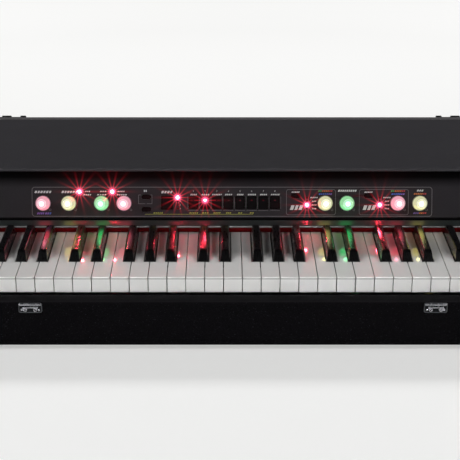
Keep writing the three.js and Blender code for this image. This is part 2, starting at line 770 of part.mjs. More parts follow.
// Flat cover with a rounded nose over the panel and two ribs underneath
function hood() {
  const skin = lengthwise(
    outline(
      [
        [HOOD_NOSE_Y, HOOD_UNDER_Z, HOOD_THICK * FULL_ROUND_SHARE],
        [HOOD_REAR, HOOD_UNDER_Z],
        [HOOD_REAR, HOOD_Z, HOOD_REAR_ROUND],
        [HOOD_NOSE_Y, HOOD_Z, HOOD_THICK * FULL_ROUND_SHARE],
      ],
      NOSE_STEPS,
    ),
    -SPAN_HALF,
    SPAN_HALF,
  );
  const ribHalf = INNER_HALF - HOOD_RIB_END;
  const ribs = HOOD_RIB_SHARES.map((share) => {
    const y = HOOD_NOSE_Y + share * (HOOD_REAR - HOOD_NOSE_Y);
    return block(
      [-ribHalf, y, HOOD_UNDER_Z - HOOD_RIB_DEPTH],
      [ribHalf, y + HOOD_RIB_THICK, HOOD_UNDER_Z + JOIN],
    );
  });
  add(instrument, "hood", shaped(joined([skin, ...ribs])), "hood");
}

// A place on the panel, from shares of the printed field
const fieldX = (share) => share * FIELD_WIDTH;
const fieldY = (share) => FIELD_BASE + share * FIELD_HEIGHT;

// Every push button: its name, place, size and whether its ends are round
function buttonList() {
  const row = fieldY(BUTTON_ROW_SHARE);
  const list = [];
  for (let number = 1; number <= PROGRAM_BUTTONS; number++) {
    const x = fieldX(PROGRAM_CENTRE_SHARE) + (number - (PROGRAM_BUTTONS + 1) / 2) * PROGRAM_PITCH;
    list.push([`program_button_${number}`, x, row, PROGRAM_WIDTH, PROGRAM_HEIGHT, false]);
  }
  list.push(["bank_button", fieldX(BANK_SHARE), row, BANK_WIDTH, BANK_HEIGHT, false]);
  const modes = { mode_button_upper: MODE_UPPER_SHARE, mode_button_lower: MODE_LOWER_SHARE };
  for (const [name, share] of Object.entries(modes))
    list.push([name, fieldX(MODE_SHARE), fieldY(share), PILL_WIDTH, PILL_HEIGHT, true]);
  EFFECT_SHARES.forEach((share, i) => {
    const x = fieldX(share) + EFFECT_SELECT_SHARE * EFFECT_WIDTH;
    const y = fieldY(EFFECT_SELECT_ROW_SHARE);
    list.push([`effect_${i + 1}_select_button`, x, y, PILL_WIDTH, PILL_HEIGHT, true]);
  });
  return list;
}

// Every indicator lens: its place on the panel
function lensList() {
  const list = LENS_SINGLE_SHARES.map((share) => [fieldX(share), fieldY(LENS_SINGLE_ROW_SHARE)]);
  for (const x of lensColumns())
    for (let k = 0; k < LENSES_PER_COLUMN; k++) list.push([x, fieldY(LENS_TOP_SHARE) - k * LENS_PITCH]);
  return list;
}

const lensColumns = () => [
  fieldX(LENS_BANK_SHARE),
  ...EFFECT_SHARES.map((share) => fieldX(share) + EFFECT_LENS_SHARE * EFFECT_WIDTH),
];

// Outline of a button or of its hole, grown by a margin
function buttonPlan(x, y, width, height, round, margin) {
  const w = width / 2 + margin;
  const h = height / 2 + margin;
  const corner = round ? h * 2 * FULL_ROUND_SHARE : 0;
  const corners = [
    [x - w, y - h, corner],
    [x + w, y - h, corner],
    [x + w, y + h, corner],
    [x - w, y + h, corner],
  ];
  return outline(corners, SMALL_STEPS);
}

// Panel plate with its upper flange and a hole for each control
function controlPanel() {
  const plate = block([-SPAN_HALF, 0, -PANEL_THICK], [SPAN_HALF, PANEL_HEIGHT, 0]);
  const flange = block(
    [-SPAN_HALF, PANEL_HEIGHT - PANEL_FLANGE_THICK, -PANEL_FLANGE_DEPTH],
    [SPAN_HALF, PANEL_HEIGHT, -PANEL_THICK + JOIN],
  );
  const low = -PANEL_THICK - JOIN;
  const holes = Object.values(KNOB_SHARES).map((share) =>
    bar(fieldX(share), fieldY(KNOB_ROW_SHARE), low, JOIN, SHAFT_HOLE, SOCKET_SIDES),
  );
  for (const [x, y] of lensList()) holes.push(bar(x, y, low, JOIN, LENS_HOLE, LENS_SIDES));
  for (const [, x, y, width, height, round] of buttonList())
    holes.push(upright(buttonPlan(x, y, width, height, round, BUTTON_GAP), low, JOIN));
  add(panelGroup, "control_panel", shaped(cut(joined([plate, flange]), holes)), "panel");
}

// Translucent knobs, each with a stub shaft through the panel
function knobs() {
  const outlinePoints = [
    new THREE.Vector2(0, -SHAFT_REACH),
    new THREE.Vector2(SHAFT_RADIUS, -SHAFT_REACH),
    new THREE.Vector2(SHAFT_RADIUS, KNOB_LIFT),
    ...KNOB_OUTLINE_SHARES.map(
      ([r, h]) => new THREE.Vector2(r * KNOB_RADIUS, KNOB_LIFT + h * (KNOB_HEIGHT - KNOB_LIFT)),
    ),
    new THREE.Vector2(0, KNOB_LIFT + KNOB_OUTLINE_SHARES.at(-1)[1] * (KNOB_HEIGHT - KNOB_LIFT)),
  ];
  const colours = ["rose", "amber", "mint", "rose", "amber", "mint", "rose", "amber"];
  Object.entries(KNOB_SHARES).forEach(([name, share], i) => {
    const geometry = new THREE.LatheGeometry(outlinePoints, KNOB_SIDES).rotateX(Math.PI / 2);
    const knob = add(panelGroup, name, shaped(solid(geometry)), colours[i]);
    knob.position.set(fieldX(share), fieldY(KNOB_ROW_SHARE), 0);
  });
}

// Button caps with a bevelled face and a stem to the switch behind
function buttons() {
  for (const [name, x, y, width, height, round] of buttonList()) {
    const shoulder = BUTTON_RISE - BUTTON_BEVEL;
    const w = width / 2;
    const h = height / 2;
    const inner = [BUTTON_BEVEL - w, w - BUTTON_BEVEL, BUTTON_BEVEL - h, h - BUTTON_BEVEL];
    const body = round
      ? [
          upright(buttonPlan(0, 0, width, height, round, 0), -BUTTON_SINK, shoulder),
          upright(buttonPlan(0, 0, width, height, round, -BUTTON_BEVEL), -BUTTON_SINK, BUTTON_RISE),
        ]
      : [stack([[-BUTTON_SINK, -w, w, -h, h], [shoulder, -w, w, -h, h], [BUTTON_RISE, ...inner]])];
    const stem = bar(0, 0, -STEM_REACH, -BUTTON_SINK + JOIN, STEM_RADIUS, POST_SIDES);
    const cap = joined([...body, stem]);
    const button = add(panelGroup, name, shaped(cap), "button");
    button.position.set(x, y, 0);
  }
}

// All indicator lenses, moulded in one piece with the light guide behind the panel
function indicatorLenses() {
  const top = -PANEL_THICK - GUIDE_CLEAR;
  const low = top - GUIDE_THICK;
  const lenses = lensList();
  const xs = lenses.map(([x]) => x);
  const row = fieldY(LENS_SINGLE_ROW_SHARE);
  const half = GUIDE_WIDTH / 2;
  const pieces = [
    block([Math.min(...xs) - half, row - half, low], [Math.max(...xs) + half, row + half, top]),
  ];
  for (const x of lensColumns()) {
    const bottom = fieldY(LENS_TOP_SHARE) - (LENSES_PER_COLUMN - 1) * LENS_PITCH;
    pieces.push(block([x - half, bottom - half, low], [x + half, row, top]));
  }
  for (const [x, y] of lenses)
    pieces.push(bar(x, y, top - JOIN, LENS_RISE, LENS_RADIUS, LENS_SIDES));
  add(panelGroup, "indicator_lenses", shaped(joined(pieces)), "lens");
}

// Board behind the panel, with an encoder under each knob, a switch under each button, and its posts
function panelBoard() {
  const half = FIELD_WIDTH / 2 + BOARD_MARGIN;
  const front = -BOARD_DEPTH;
  const pieces = [
    block(
      [-half, BOARD_BASE, front - BOARD_THICK],
      [half, BOARD_BASE + BOARD_HEIGHT, front],
    ),
  ];
  const bodyHalf = ENCODER_SIZE / 2;
  for (const share of Object.values(KNOB_SHARES)) {
    const x = fieldX(share);
    const y = fieldY(KNOB_ROW_SHARE);
    pieces.push(
      block(
        [x - bodyHalf, y - bodyHalf, front - JOIN],
        [x + bodyHalf, y + bodyHalf, -SHAFT_REACH - SEAT_GAP],
      ),
    );
  }
  const switchHalf = SWITCH_SIZE / 2;
  for (const [, x, y] of buttonList())
    pieces.push(
      block(
        [x - switchHalf, y - switchHalf, front - JOIN],
        [x + switchHalf, y + switchHalf, -STEM_REACH - BUTTON_TRAVEL - SEAT_GAP],
      ),
    );
  for (const share of POST_SHARES)
    pieces.push(
      bar(
        fieldX(share),
        fieldY(POST_ROW_SHARE),
        front - JOIN,
        -PANEL_THICK - SEAT_GAP,
        POST_RADIUS,
        POST_SIDES,
      ),
    );
  add(panelGroup, "panel_board", shaped(joined(pieces)), "board");
}

// Catch plates on the front wall: a flat plate, a raised hook bar, the keeper below and two rivets
function catchPlates() {
  const face = FRONT_Y - SEAT_GAP;
  const top = SLIP_Z - CATCH_DROP;
  const low = top - CATCH_HEIGHT;
  const plateFace = face - CATCH_THICK;
  const hookFace = plateFace - CATCH_HOOK_RISE;
  const keeperLow = low + CATCH_KEEPER_BASE;
  const hookLow = top - CATCH_HOOK_DROP - CATCH_HOOK_HEIGHT;
  for (const [side, name] of [[-1, "catch_plate_left"], [1, "catch_plate_right"]]) {
    const x = side * CATCH_SHARE * CASE_HALF;
    const half = CATCH_WIDTH / 2;
    const plate = backwards(
      outline(
        [
          [-x - half, low, CATCH_ROUND],
          [-x + half, low, CATCH_ROUND],
          [-x + half, top, CATCH_ROUND],
          [-x - half, top, CATCH_ROUND],
        ],
        PLATE_STEPS,
      ),
      plateFace,
      face,
    );
    const hook = block(
      [x - CATCH_HOOK_WIDTH / 2, hookFace, hookLow],
      [x + CATCH_HOOK_WIDTH / 2, plateFace + JOIN, hookLow + CATCH_HOOK_HEIGHT],
    );
    const neck = block(
      [x - CATCH_NECK_WIDTH / 2, hookFace + CATCH_THICK, keeperLow],
      [x + CATCH_NECK_WIDTH / 2, plateFace + JOIN, hookLow + JOIN],
    );
    const keeper = block(
      [x - CATCH_KEEPER_WIDTH / 2, hookFace + CATCH_THICK, keeperLow],
      [x + CATCH_KEEPER_WIDTH / 2, plateFace + JOIN, keeperLow + CATCH_KEEPER_HEIGHT],
    );
    const rivets = [-1, 1].map((end) =>
      rearBar(
        x + end * (half - CATCH_RIVET_INSET),
        plateFace - CATCH_RIVET_RISE,
        plateFace + JOIN,
        low + CATCH_RIVET_BASE,
        CATCH_RIVET,
        LENS_SIDES,
      ),
    );
    const whole = joined([plate, hook, neck, keeper, ...rivets]);
    add(instrument, name, shaped(whole), "steel");
  }
}

// Hinge halves that the lid lifts off: a leaf with screws, a pin, and three knuckles
function hingeHalves() {
  const leafFace = BACK_Y + SEAT_GAP;
  const half = HINGE_WIDTH / 2;
  for (const [side, name] of [[-1, "rear_hinge_left"], [1, "rear_hinge_right"]]) {
    const x = side * HINGE_SHARE * CASE_HALF;
    const leaf = block(
      [x - half, leafFace, HINGE_PIN_Z - HINGE_LEAF_HEIGHT],
      [x + half, leafFace + HINGE_LEAF_THICK, HINGE_PIN_Z],
    );
    const barrel = (low, high, radius) =>
      crossBar(low, high, HINGE_PIN_Y, HINGE_PIN_Z, radius, HINGE_SIDES);
    const screws = [-1, 1].map((end) =>
      rearBar(
        x + end * (half - HINGE_SCREW_INSET),
        leafFace + HINGE_LEAF_THICK - JOIN,
        leafFace + HINGE_LEAF_THICK + HINGE_SCREW_RISE,
        HINGE_PIN_Z - HINGE_LEAF_HEIGHT / 2,
        HINGE_SCREW,
        HINGE_SIDES,
      ),
    );
    const whole = joined([
      leaf,
      barrel(x - half, x - half + HINGE_END, HINGE_BARREL),
      barrel(x + half - HINGE_END, x + half, HINGE_BARREL),
      barrel(x - HINGE_MIDDLE / 2, x + HINGE_MIDDLE / 2, HINGE_BARREL),
      barrel(x - half + JOIN, x + half - JOIN, HINGE_PIN),
      ...screws,
    ]);
    add(instrument, name, shaped(whole), "steel");
  }
}

// Places of the connectors along their plate
const socketX = (share) => CONNECTOR_X + share * CONNECTOR_WIDTH;

// A square block with a mouth cut in the face towards the back
function socketBlock(x, width, height, mouth) {
  const rear = BACK_Y;
  const low = CONNECTOR_Z - height / 2;
  const body = block([x - width / 2, rear - SOCKET_BLOCK, low], [x + width / 2, rear, low + height]);
  return cut(solid(body), [mouth]);
}

const roundMouth = (x, radius, depth) =>
  rearBar(x, BACK_Y - depth, BACK_Y + JOIN, CONNECTOR_Z, radius, SOCKET_SIDES);
const squareMouth = (x, width, height, depth) =>
  block(
    [x - width / 2, BACK_Y - depth, CONNECTOR_Z - height / 2],
    [x + width / 2, BACK_Y + JOIN, CONNECTOR_Z + height / 2],
  );

// Plate over the hatch in the back wall, with an opening for each connector
function connectorPlate() {
  const inner = BACK_Y + SEAT_GAP;
  const halfWidth = CONNECTOR_WIDTH / 2;
  const halfHeight = CONNECTOR_HEIGHT / 2;
  const plate = backwards(
    outline(
      [
        [-CONNECTOR_X - halfWidth, CONNECTOR_Z - halfHeight, CONNECTOR_ROUND],
        [-CONNECTOR_X + halfWidth, CONNECTOR_Z - halfHeight, CONNECTOR_ROUND],
        [-CONNECTOR_X + halfWidth, CONNECTOR_Z + halfHeight, CONNECTOR_ROUND],
        [-CONNECTOR_X - halfWidth, CONNECTOR_Z + halfHeight, CONNECTOR_ROUND],
      ],
      SMALL_STEPS,
    ),
    inner,
    PLATE_Y,
  );
  const nuts = JACK_SHARES.map((share) =>
    rearBar(socketX(share), PLATE_Y - JOIN, PLATE_Y + NUT_RISE, CONNECTOR_Z, NUT_RADIUS, NUT_SIDES),
  );
  const low = inner - JOIN;
  const high = PLATE_Y + NUT_RISE + JOIN;
  const slot = (x, width, height) =>
    block(
      [x - width / 2, low, CONNECTOR_Z - height / 2],
      [x + width / 2, high, CONNECTOR_Z + height / 2],
    );
  const openings = [
    ...JACK_SHARES.map((share) =>
      rearBar(socketX(share), low, high, CONNECTOR_Z, JACK_RADIUS, SOCKET_SIDES),
    ),
    rearBar(socketX(MIDI_SHARE), low, high, CONNECTOR_Z, MIDI_RADIUS, SOCKET_SIDES),
    slot(socketX(USB_SHARE), USB_WIDTH, USB_HEIGHT),
    slot(socketX(ROCKER_SHARE), ROCKER_WIDTH, ROCKER_SLOT),
    slot(socketX(INLET_SHARE), INLET_WIDTH, INLET_HEIGHT),
  ];
  add(instrument, "connector_plate", shaped(cut(joined([plate, ...nuts]), openings)), "steel");
}

// Board with the sockets that stand behind the plate's openings
function jackBoard() {
  const halfWidth = CONNECTOR_WIDTH / 2 - CONNECTOR_BORDER * 2;
  const top = CONNECTOR_Z - JACK_BLOCK / 2 + JOIN;
  const board = block(
    [CONNECTOR_X - halfWidth, BACK_INNER_Y - JACK_BOARD_REACH, top - BOARD_THICK],
    [CONNECTOR_X + halfWidth, BACK_Y - JACK_BOARD_SETBACK, top],
  );
  const jacks = JACK_SHARES.map((share) => {
    const x = socketX(share);
    return socketBlock(x, JACK_BLOCK, JACK_BLOCK, roundMouth(x, JACK_RADIUS, JACK_DEPTH));
  });
  const midiX = socketX(MIDI_SHARE);
  const usbX = socketX(USB_SHARE);
  const inletX = socketX(INLET_SHARE);
  const rockerX = socketX(ROCKER_SHARE);
  const blocks = [
    ...jacks,
    socketBlock(midiX, MIDI_BLOCK, MIDI_BLOCK, roundMouth(midiX, MIDI_RADIUS, MIDI_DEPTH)),
    socketBlock(usbX, USB_BLOCK, JACK_BLOCK, squareMouth(usbX, USB_WIDTH, USB_HEIGHT, JACK_DEPTH)),
    socketBlock(
      inletX,
      INLET_BLOCK,
      MIDI_BLOCK,
      squareMouth(inletX, INLET_WIDTH, INLET_HEIGHT, INLET_DEPTH),
    ),
    socketBlock(
      rockerX,
      ROCKER_WIDTH + ROCKER_WALL * 2,
      MIDI_BLOCK,
      squareMouth(rockerX, ROCKER_WIDTH, ROCKER_SLOT, JACK_DEPTH),
    ),
  ];
  const whole = blocks.reduce((body, next) => body.add(next), solid(board));
  add(instrument, "jack_board", shaped(whole), "board");
}

// Power rocker: two faces that meet in a dip, at rest with its upper half pressed in
function powerRocker() {
  const half = ROCKER_WIDTH / 2 - SEAT_GAP;
  const neutral = outline(
    [
      [-ROCKER_BACK, -ROCKER_BACK_HALF],
      [0, -ROCKER_HALF],
      [ROCKER_PIVOT + ROCKER_END_RISE, -ROCKER_HALF, ROCKER_ROUND],
      [ROCKER_PIVOT + ROCKER_RISE, 0],
      [ROCKER_PIVOT + ROCKER_END_RISE, ROCKER_HALF, ROCKER_ROUND],
      [0, ROCKER_HALF],
      [-ROCKER_BACK, ROCKER_BACK_HALF],
    ],
    SMALL_STEPS,
  );
  const pivot = new THREE.Vector2(PLATE_Y - ROCKER_PIVOT, CONNECTOR_Z);
  const pressed = neutral.map((point) =>
    point.rotateAround(new THREE.Vector2(), ROCKER_TILT).add(pivot),
  );
  const x = socketX(ROCKER_SHARE);
  add(instrument, "power_rocker", lengthwise(pressed, x - half, x + half), "button");
}

// Four feet under the base board
function feet() {
  const outlinePoints = [
    new THREE.Vector2(0, 0),
    new THREE.Vector2(FOOT_RADIUS, 0),
    new THREE.Vector2(FOOT_RADIUS, FOOT_EDGE),
    new THREE.Vector2(FOOT_TOP_RADIUS, FOOT_HEIGHT - SEAT_GAP),
    new THREE.Vector2(0, FOOT_HEIGHT - SEAT_GAP),
  ];
  const places = {
    foot_front_left: [-1, FRONT_Y + FOOT_INSET],
    foot_front_right: [1, FRONT_Y + FOOT_INSET],
    foot_rear_left: [-1, BACK_Y - FOOT_INSET],
    foot_rear_right: [1, BACK_Y - FOOT_INSET],
  };
  for (const [name, [side, y]] of Object.entries(places)) {
    const geometry = new THREE.LatheGeometry(outlinePoints, FOOT_SIDES).rotateX(Math.PI / 2);
    const foot = add(instrument, name, shaped(solid(geometry)), "rubber");
    foot.position.set(side * (CASE_HALF - FOOT_INSET), y, 0);
  }
}

caseTray();
cheeks();
keyFrame();
keys();
keyRail();
hood();
controlPanel();
knobs();
buttons();
indicatorLenses();
panelBoard();
catchPlates();
hingeHalves();
connectorPlate();
jackBoard();
powerRocker();
feet();

// The finished group stands on the floor with the middle of its box over the origin
instrument.position.y = -(FRONT_MOST + REAR_REACH) / 2;
const electricPiano = new THREE.Group();
electricPiano.add(instrument);

export default electricPiano;
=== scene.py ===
"""Looks of the electric piano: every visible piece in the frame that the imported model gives, its materials,
and a plain pale studio. Lengths are in metres. X runs along the keys, Y from the player to the back, Z up."""
from math import atan2, cos, pi, radians, sin, tan, tau

import bmesh
import bpy
from mathutils import Matrix, Vector


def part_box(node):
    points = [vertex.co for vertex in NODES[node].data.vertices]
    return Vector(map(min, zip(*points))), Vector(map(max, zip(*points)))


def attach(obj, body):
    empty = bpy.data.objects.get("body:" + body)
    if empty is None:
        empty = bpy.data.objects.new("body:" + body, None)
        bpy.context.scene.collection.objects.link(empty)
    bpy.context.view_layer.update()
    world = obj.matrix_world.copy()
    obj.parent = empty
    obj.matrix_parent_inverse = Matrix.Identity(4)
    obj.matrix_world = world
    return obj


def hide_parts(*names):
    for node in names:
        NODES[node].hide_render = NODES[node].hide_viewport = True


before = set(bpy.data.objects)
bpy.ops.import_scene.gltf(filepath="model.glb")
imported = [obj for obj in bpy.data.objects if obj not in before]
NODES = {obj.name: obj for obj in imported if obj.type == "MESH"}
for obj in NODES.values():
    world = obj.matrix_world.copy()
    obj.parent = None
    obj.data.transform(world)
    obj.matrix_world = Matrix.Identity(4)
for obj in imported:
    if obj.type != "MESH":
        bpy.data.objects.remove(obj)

bl_info = {
    "name": "Electric Piano",
    "version": (1, 0, 0),
    "blender": (4, 5, 0),
    "location": "View3D > Sidebar > Piano",
    "description": "Builds the covered case, keys, panel and controls of an electric piano, and its studio",
    "category": "Add Mesh",
}

MM = 0.001


def shift(x=0.0, y=0.0, z=0.0):
    """A move in millimetres."""
    return Matrix.Translation(Vector((x, y, z)) * MM)


def turn(angle, axis="X"):
    return Matrix.Rotation(angle, 4, axis)


# Places that the solids share with these pieces, in millimetres. Y counts from the front of the white keys.
SHIFT = 188.45  # the middle of the instrument lies this far behind that line
KEY_LEVEL = 90.0  # height of the white key tops
KEY_PITCH = 23.5
KEYS_HALF = 505.25  # half the width of the row of keys
SPAN_HALF = 564.7  # half the width between the end walls
FIRST_LETTER = 2  # letter of the lowest white key, counted up from C
BLACK_SHIFTS = {0: -0.1, 1: 0.1, 3: -0.143, 4: 0.0, 5: 0.143}  # by the letter below each, in key pitches
HOOD_NOSE, HOOD_REAR, HOOD_LOW, HOOD_TOP = 163.4, 382, 171, 176
FRONT_WALL = -25.3  # its outer face
FACING_FRONT = turn(radians(90))
FACING_REAR = turn(pi, "Z") @ FACING_FRONT

# The leaning panel. Places on it are millimetres along it from its middle, and up its face.
PANEL_FOOT = 106.8
PANEL_LEAN = radians(17)
PANEL_TURN = radians(90) - PANEL_LEAN
PANEL_PLACE = shift(0, 160 - SHIFT, PANEL_FOOT) @ turn(PANEL_TURN)
FIELD = (-270.0, 270.0, 1.3, 41.3)  # printed outline: left, right, low, high
BUTTON_PITCH = 15.698
BUTTON_XS = [-51.98 + number * BUTTON_PITCH for number in range(8)]
EFFECT_BOXES = (73.2, 171.5)  # left ends of the printed boxes round the two effect sections
LENS_COLUMNS = (-73.44, 101.22, 199.39)
LENS_ROWS = [27.02 - row * 5.0 for row in range(4)]
LENS_SINGLES = ((-205.74, 34.98), (-161.46, 34.98))
LIT_LENSES = (*LENS_SINGLES, *zip(LENS_COLUMNS, (LENS_ROWS[0], LENS_ROWS[2], LENS_ROWS[2])))
LAMPS = (*LIT_LENSES, (-36.28, 23.4))  # with the window of the second program button

# The connector plate on the rear wall. Places on it are millimetres along it from its middle.
REAR_PLATE = shift(-330.02, 399.6 - SHIFT, 54.0) @ FACING_REAR
JACK_XS = (-105, -75, -45, -15)
ROUND_X, DATA_X, ROCKER_X, INLET_X = 18.75, 47.5, 73.75, 103.75

WHITE_NODES = ("white_keys_e1_to_b2", "white_keys_c3_to_b3", "white_keys_c5_to_b5", "white_keys_c6_to_e7") + tuple(
    f"key_{letter}4" for letter in "cdefgab"
)
BLACK_NODES = {  # each with the numbers of the white keys to the left of its keys
    "black_keys_low": range(0, 19),
    "black_keys_high": range(26, 42),
    "key_c_sharp4": [19],
    "key_d_sharp4": [20],
    "key_f_sharp4": [22],
    "key_g_sharp4": [23],
    "key_a_sharp4": [24],
}
KNOBS = {
    "knob_volume": "rose",
    "knob_reverb": "amber",
    "knob_presence": "mint",
    "knob_depth": "rose",
    "knob_effect_1": "amber",
    "knob_drive": "mint",
    "knob_effect_2": "rose",
    "knob_pan": "amber",
}
KNOB_RADIUS = 10.4
RESINS = {  # tones of the side, the top, the hot spot and the underside of a lit knob
    "rose": ((0.84, 0.36, 0.46), (0.94, 0.6, 0.66), (14.0, 2.4, 3.6), (2.8, 0.16, 0.28)),
    "amber": ((0.66, 0.66, 0.38), (0.86, 0.86, 0.62), (11.0, 10.0, 2.8), (2.0, 1.75, 0.4)),
    "mint": ((0.3, 0.72, 0.34), (0.48, 0.86, 0.54), (1.8, 14.0, 4.0), (0.08, 2.4, 0.55)),
}
LAMP_RED = (1.0, 0.04, 0.07)

# Print on the panel: middle along it and up it, width and height in millimetres, and number of blocks
PALE_BARS = (
    (-255.4, 34.6, 23, 3.0, 6), (-219.5, 34.6, 22, 3.0, 6), (-195, 35.3, 7, 1.7, 3), (-195.5, 30.8, 11, 1.7, 4),
    (-174, 35.3, 9, 1.7, 3), (-150, 35.3, 10, 1.7, 4), (-176, 30.8, 13, 1.7, 4), (-149, 30.8, 14, 1.7, 5),
    (-88.3, 34.4, 15.5, 3.2, 4), (155.0, 36.2, 25, 2.6, 9), (253.2, 36.4, 9, 2.4, 3),
)
YELLOW_BARS = ((-100, 13), (-51.98, 12), (-36.28, 9), (-20.6, 10), (-4.9, 7), (10.8, 6), (26.5, 6))  # middle, width
INKS = {
    "green": (58, 150, 78), "orange": (188, 104, 44), "red": (176, 52, 50), "blue": (52, 92, 178),
    "violet": (112, 84, 168),
}
COLOUR_BARS = (  # the same, but along from a knob's middle, and with the inks from left to right
    ("knob_effect_1", 0, 35.8, 19.5, 1.9, 8, "green orange orange red"),
    ("knob_effect_1", 0, 31.7, 18, 1.9, 7, "blue blue violet"),
    ("knob_effect_2", 0, 35.8, 19.5, 1.9, 8, "green orange orange red"),
    ("knob_effect_2", 0, 31.7, 18, 1.9, 7, "blue blue violet"),
    ("knob_volume", -3.8, 5.6, 10, 2.6, 4, "violet"),
    ("knob_volume", 6.2, 5.6, 8.5, 2.6, 3, "violet blue"),
    ("knob_pan", 0, 32.0, 17, 2.2, 7, "orange orange red"),
    ("knob_pan", 0, 6.0, 18, 2.0, 7, "violet orange red"),
)


def shade(red, green, blue):
    """A display colour in 0 to 255 as the linear one that shaders take."""
    return tuple((v / 255) / 12.92 if v < 10.3 else ((v / 255 + 0.055) / 1.055) ** 2.4 for v in (red, green, blue))


def times(tone, share):
    """A colour made darker or paler."""
    return [v * share for v in tone]


def given(thing, **values):
    """Sets several properties of one thing."""
    for name, value in values.items():
        setattr(thing, name, value)
    return thing


# ---------------------------------------------------------------- settings


def length(name, default, description):
    return bpy.props.FloatProperty(
        name=name, default=default, description=description, min=0, subtype="DISTANCE", unit="LENGTH", precision=4
    )


def colour(name, default, description):
    return bpy.props.FloatVectorProperty(
        name=name, default=shade(*default), description=description, min=0, max=1, size=3, subtype="COLOR"
    )


def strength(name, default, description):
    return bpy.props.FloatProperty(name=name, default=default, description=description, min=0)


class CaseSettings(bpy.types.PropertyGroup):
    cover: colour("Cover", (9, 8, 11), "Colour of the grained cloth")
    grain: length("Grain", 0.0011, "Size of one pebble of the cloth's grain")
    hood: colour("Hood", (63, 62, 65), "Colour of the hood")
    rail: colour("Rail", (46, 50, 50), "Colour of the rail over the keys")
    # the colour of a painted highlight along the rail's nose
    rail_nose: colour("Rail nose", (112, 108, 110), "Colour of the rubbed nose of the rail")
    felt: colour("Felt", (84, 1, 4), "Colour of the felt strip")
    foot_groove: length("Foot groove", 0.0008, "Depth of the groove round each foot")


class KeySettings(bpy.types.PropertyGroup):
    ivory: colour("Ivory", (238, 237, 235), "Colour of the white keys")
    ebony: colour("Ebony", (7, 7, 8), "Colour of the black keys")
    front_round: length("Front rounding", 0.0013, "Rounding of the front edge of a white key")
    edge_round: length("Edge rounding", 0.00045, "Rounding of the other edges of a white key")
    crown_round: length("Crown rounding", 0.0019, "Rounding of the upper edges of a black key")


class PanelSettings(bpy.types.PropertyGroup):
    paint: colour("Paint", (38, 35, 38), "Colour of the panel's paint")
    print_white: colour("Pale print", (196, 196, 194), "Colour of the pale bars and numbers")
    print_grey: colour("Grey print", (104, 99, 102), "Colour of the printed frames")
    print_yellow: colour("Yellow print", (140, 138, 44), "Colour of the line below the buttons")
    print_thick: length("Print thickness", 0.00006, "How far the print stands off the paint")
    button: colour("Buttons", (5, 5, 6), "Colour of the button caps")
    knob_glow: strength("Knob glow", 1.0, "Strength of the light in the knobs")
    lens_glow: strength("Lens glow", 620.0, "Strength of a lit indicator lens")


class StudioSettings(bpy.types.PropertyGroup):
    floor: colour("Floor", (204, 204, 203), "Colour of the floor")
    side_light: strength("Side lights", 15.0, "Power of each of the soft lights at the sides")
    rear_light: strength("Rear lights", 19.0, "Power of each of the soft lights behind")
    low_light: strength("Low light", 2.5, "Power of the low soft light in front")
    air: strength("Air", 0.01, "Brightness of the air round the piano")
    lens: bpy.props.FloatProperty(
        name="Lens", default=102.6, description="Focal length of the camera", min=1, subtype="DISTANCE_CAMERA"
    )


SETTINGS = {
    "piano_case": CaseSettings,
    "piano_keys": KeySettings,
    "piano_panel": PanelSettings,
    "piano_studio": StudioSettings,
}


# ---------------------------------------------------------------- shader nodes


def operators(operation):
    """A Python operator and its reflected form, as one kind of Math node."""

    def plain(self, other):
        return self.nodes.maths(operation, self, other)

    def reflected(self, other):
        return self.nodes.maths(operation, other, self)

    return plain, reflected


class Signal:
    """An output socket. Python's operators on it add Math nodes."""

    __add__, __radd__ = operators("ADD")
    __sub__, __rsub__ = operators("SUBTRACT")
    __mul__, __rmul__ = operators("MULTIPLY")
    __truediv__, __rtruediv__ = operators("DIVIDE")

    def __init__(self, nodes, socket):
        self.nodes = nodes
        self.socket = socket


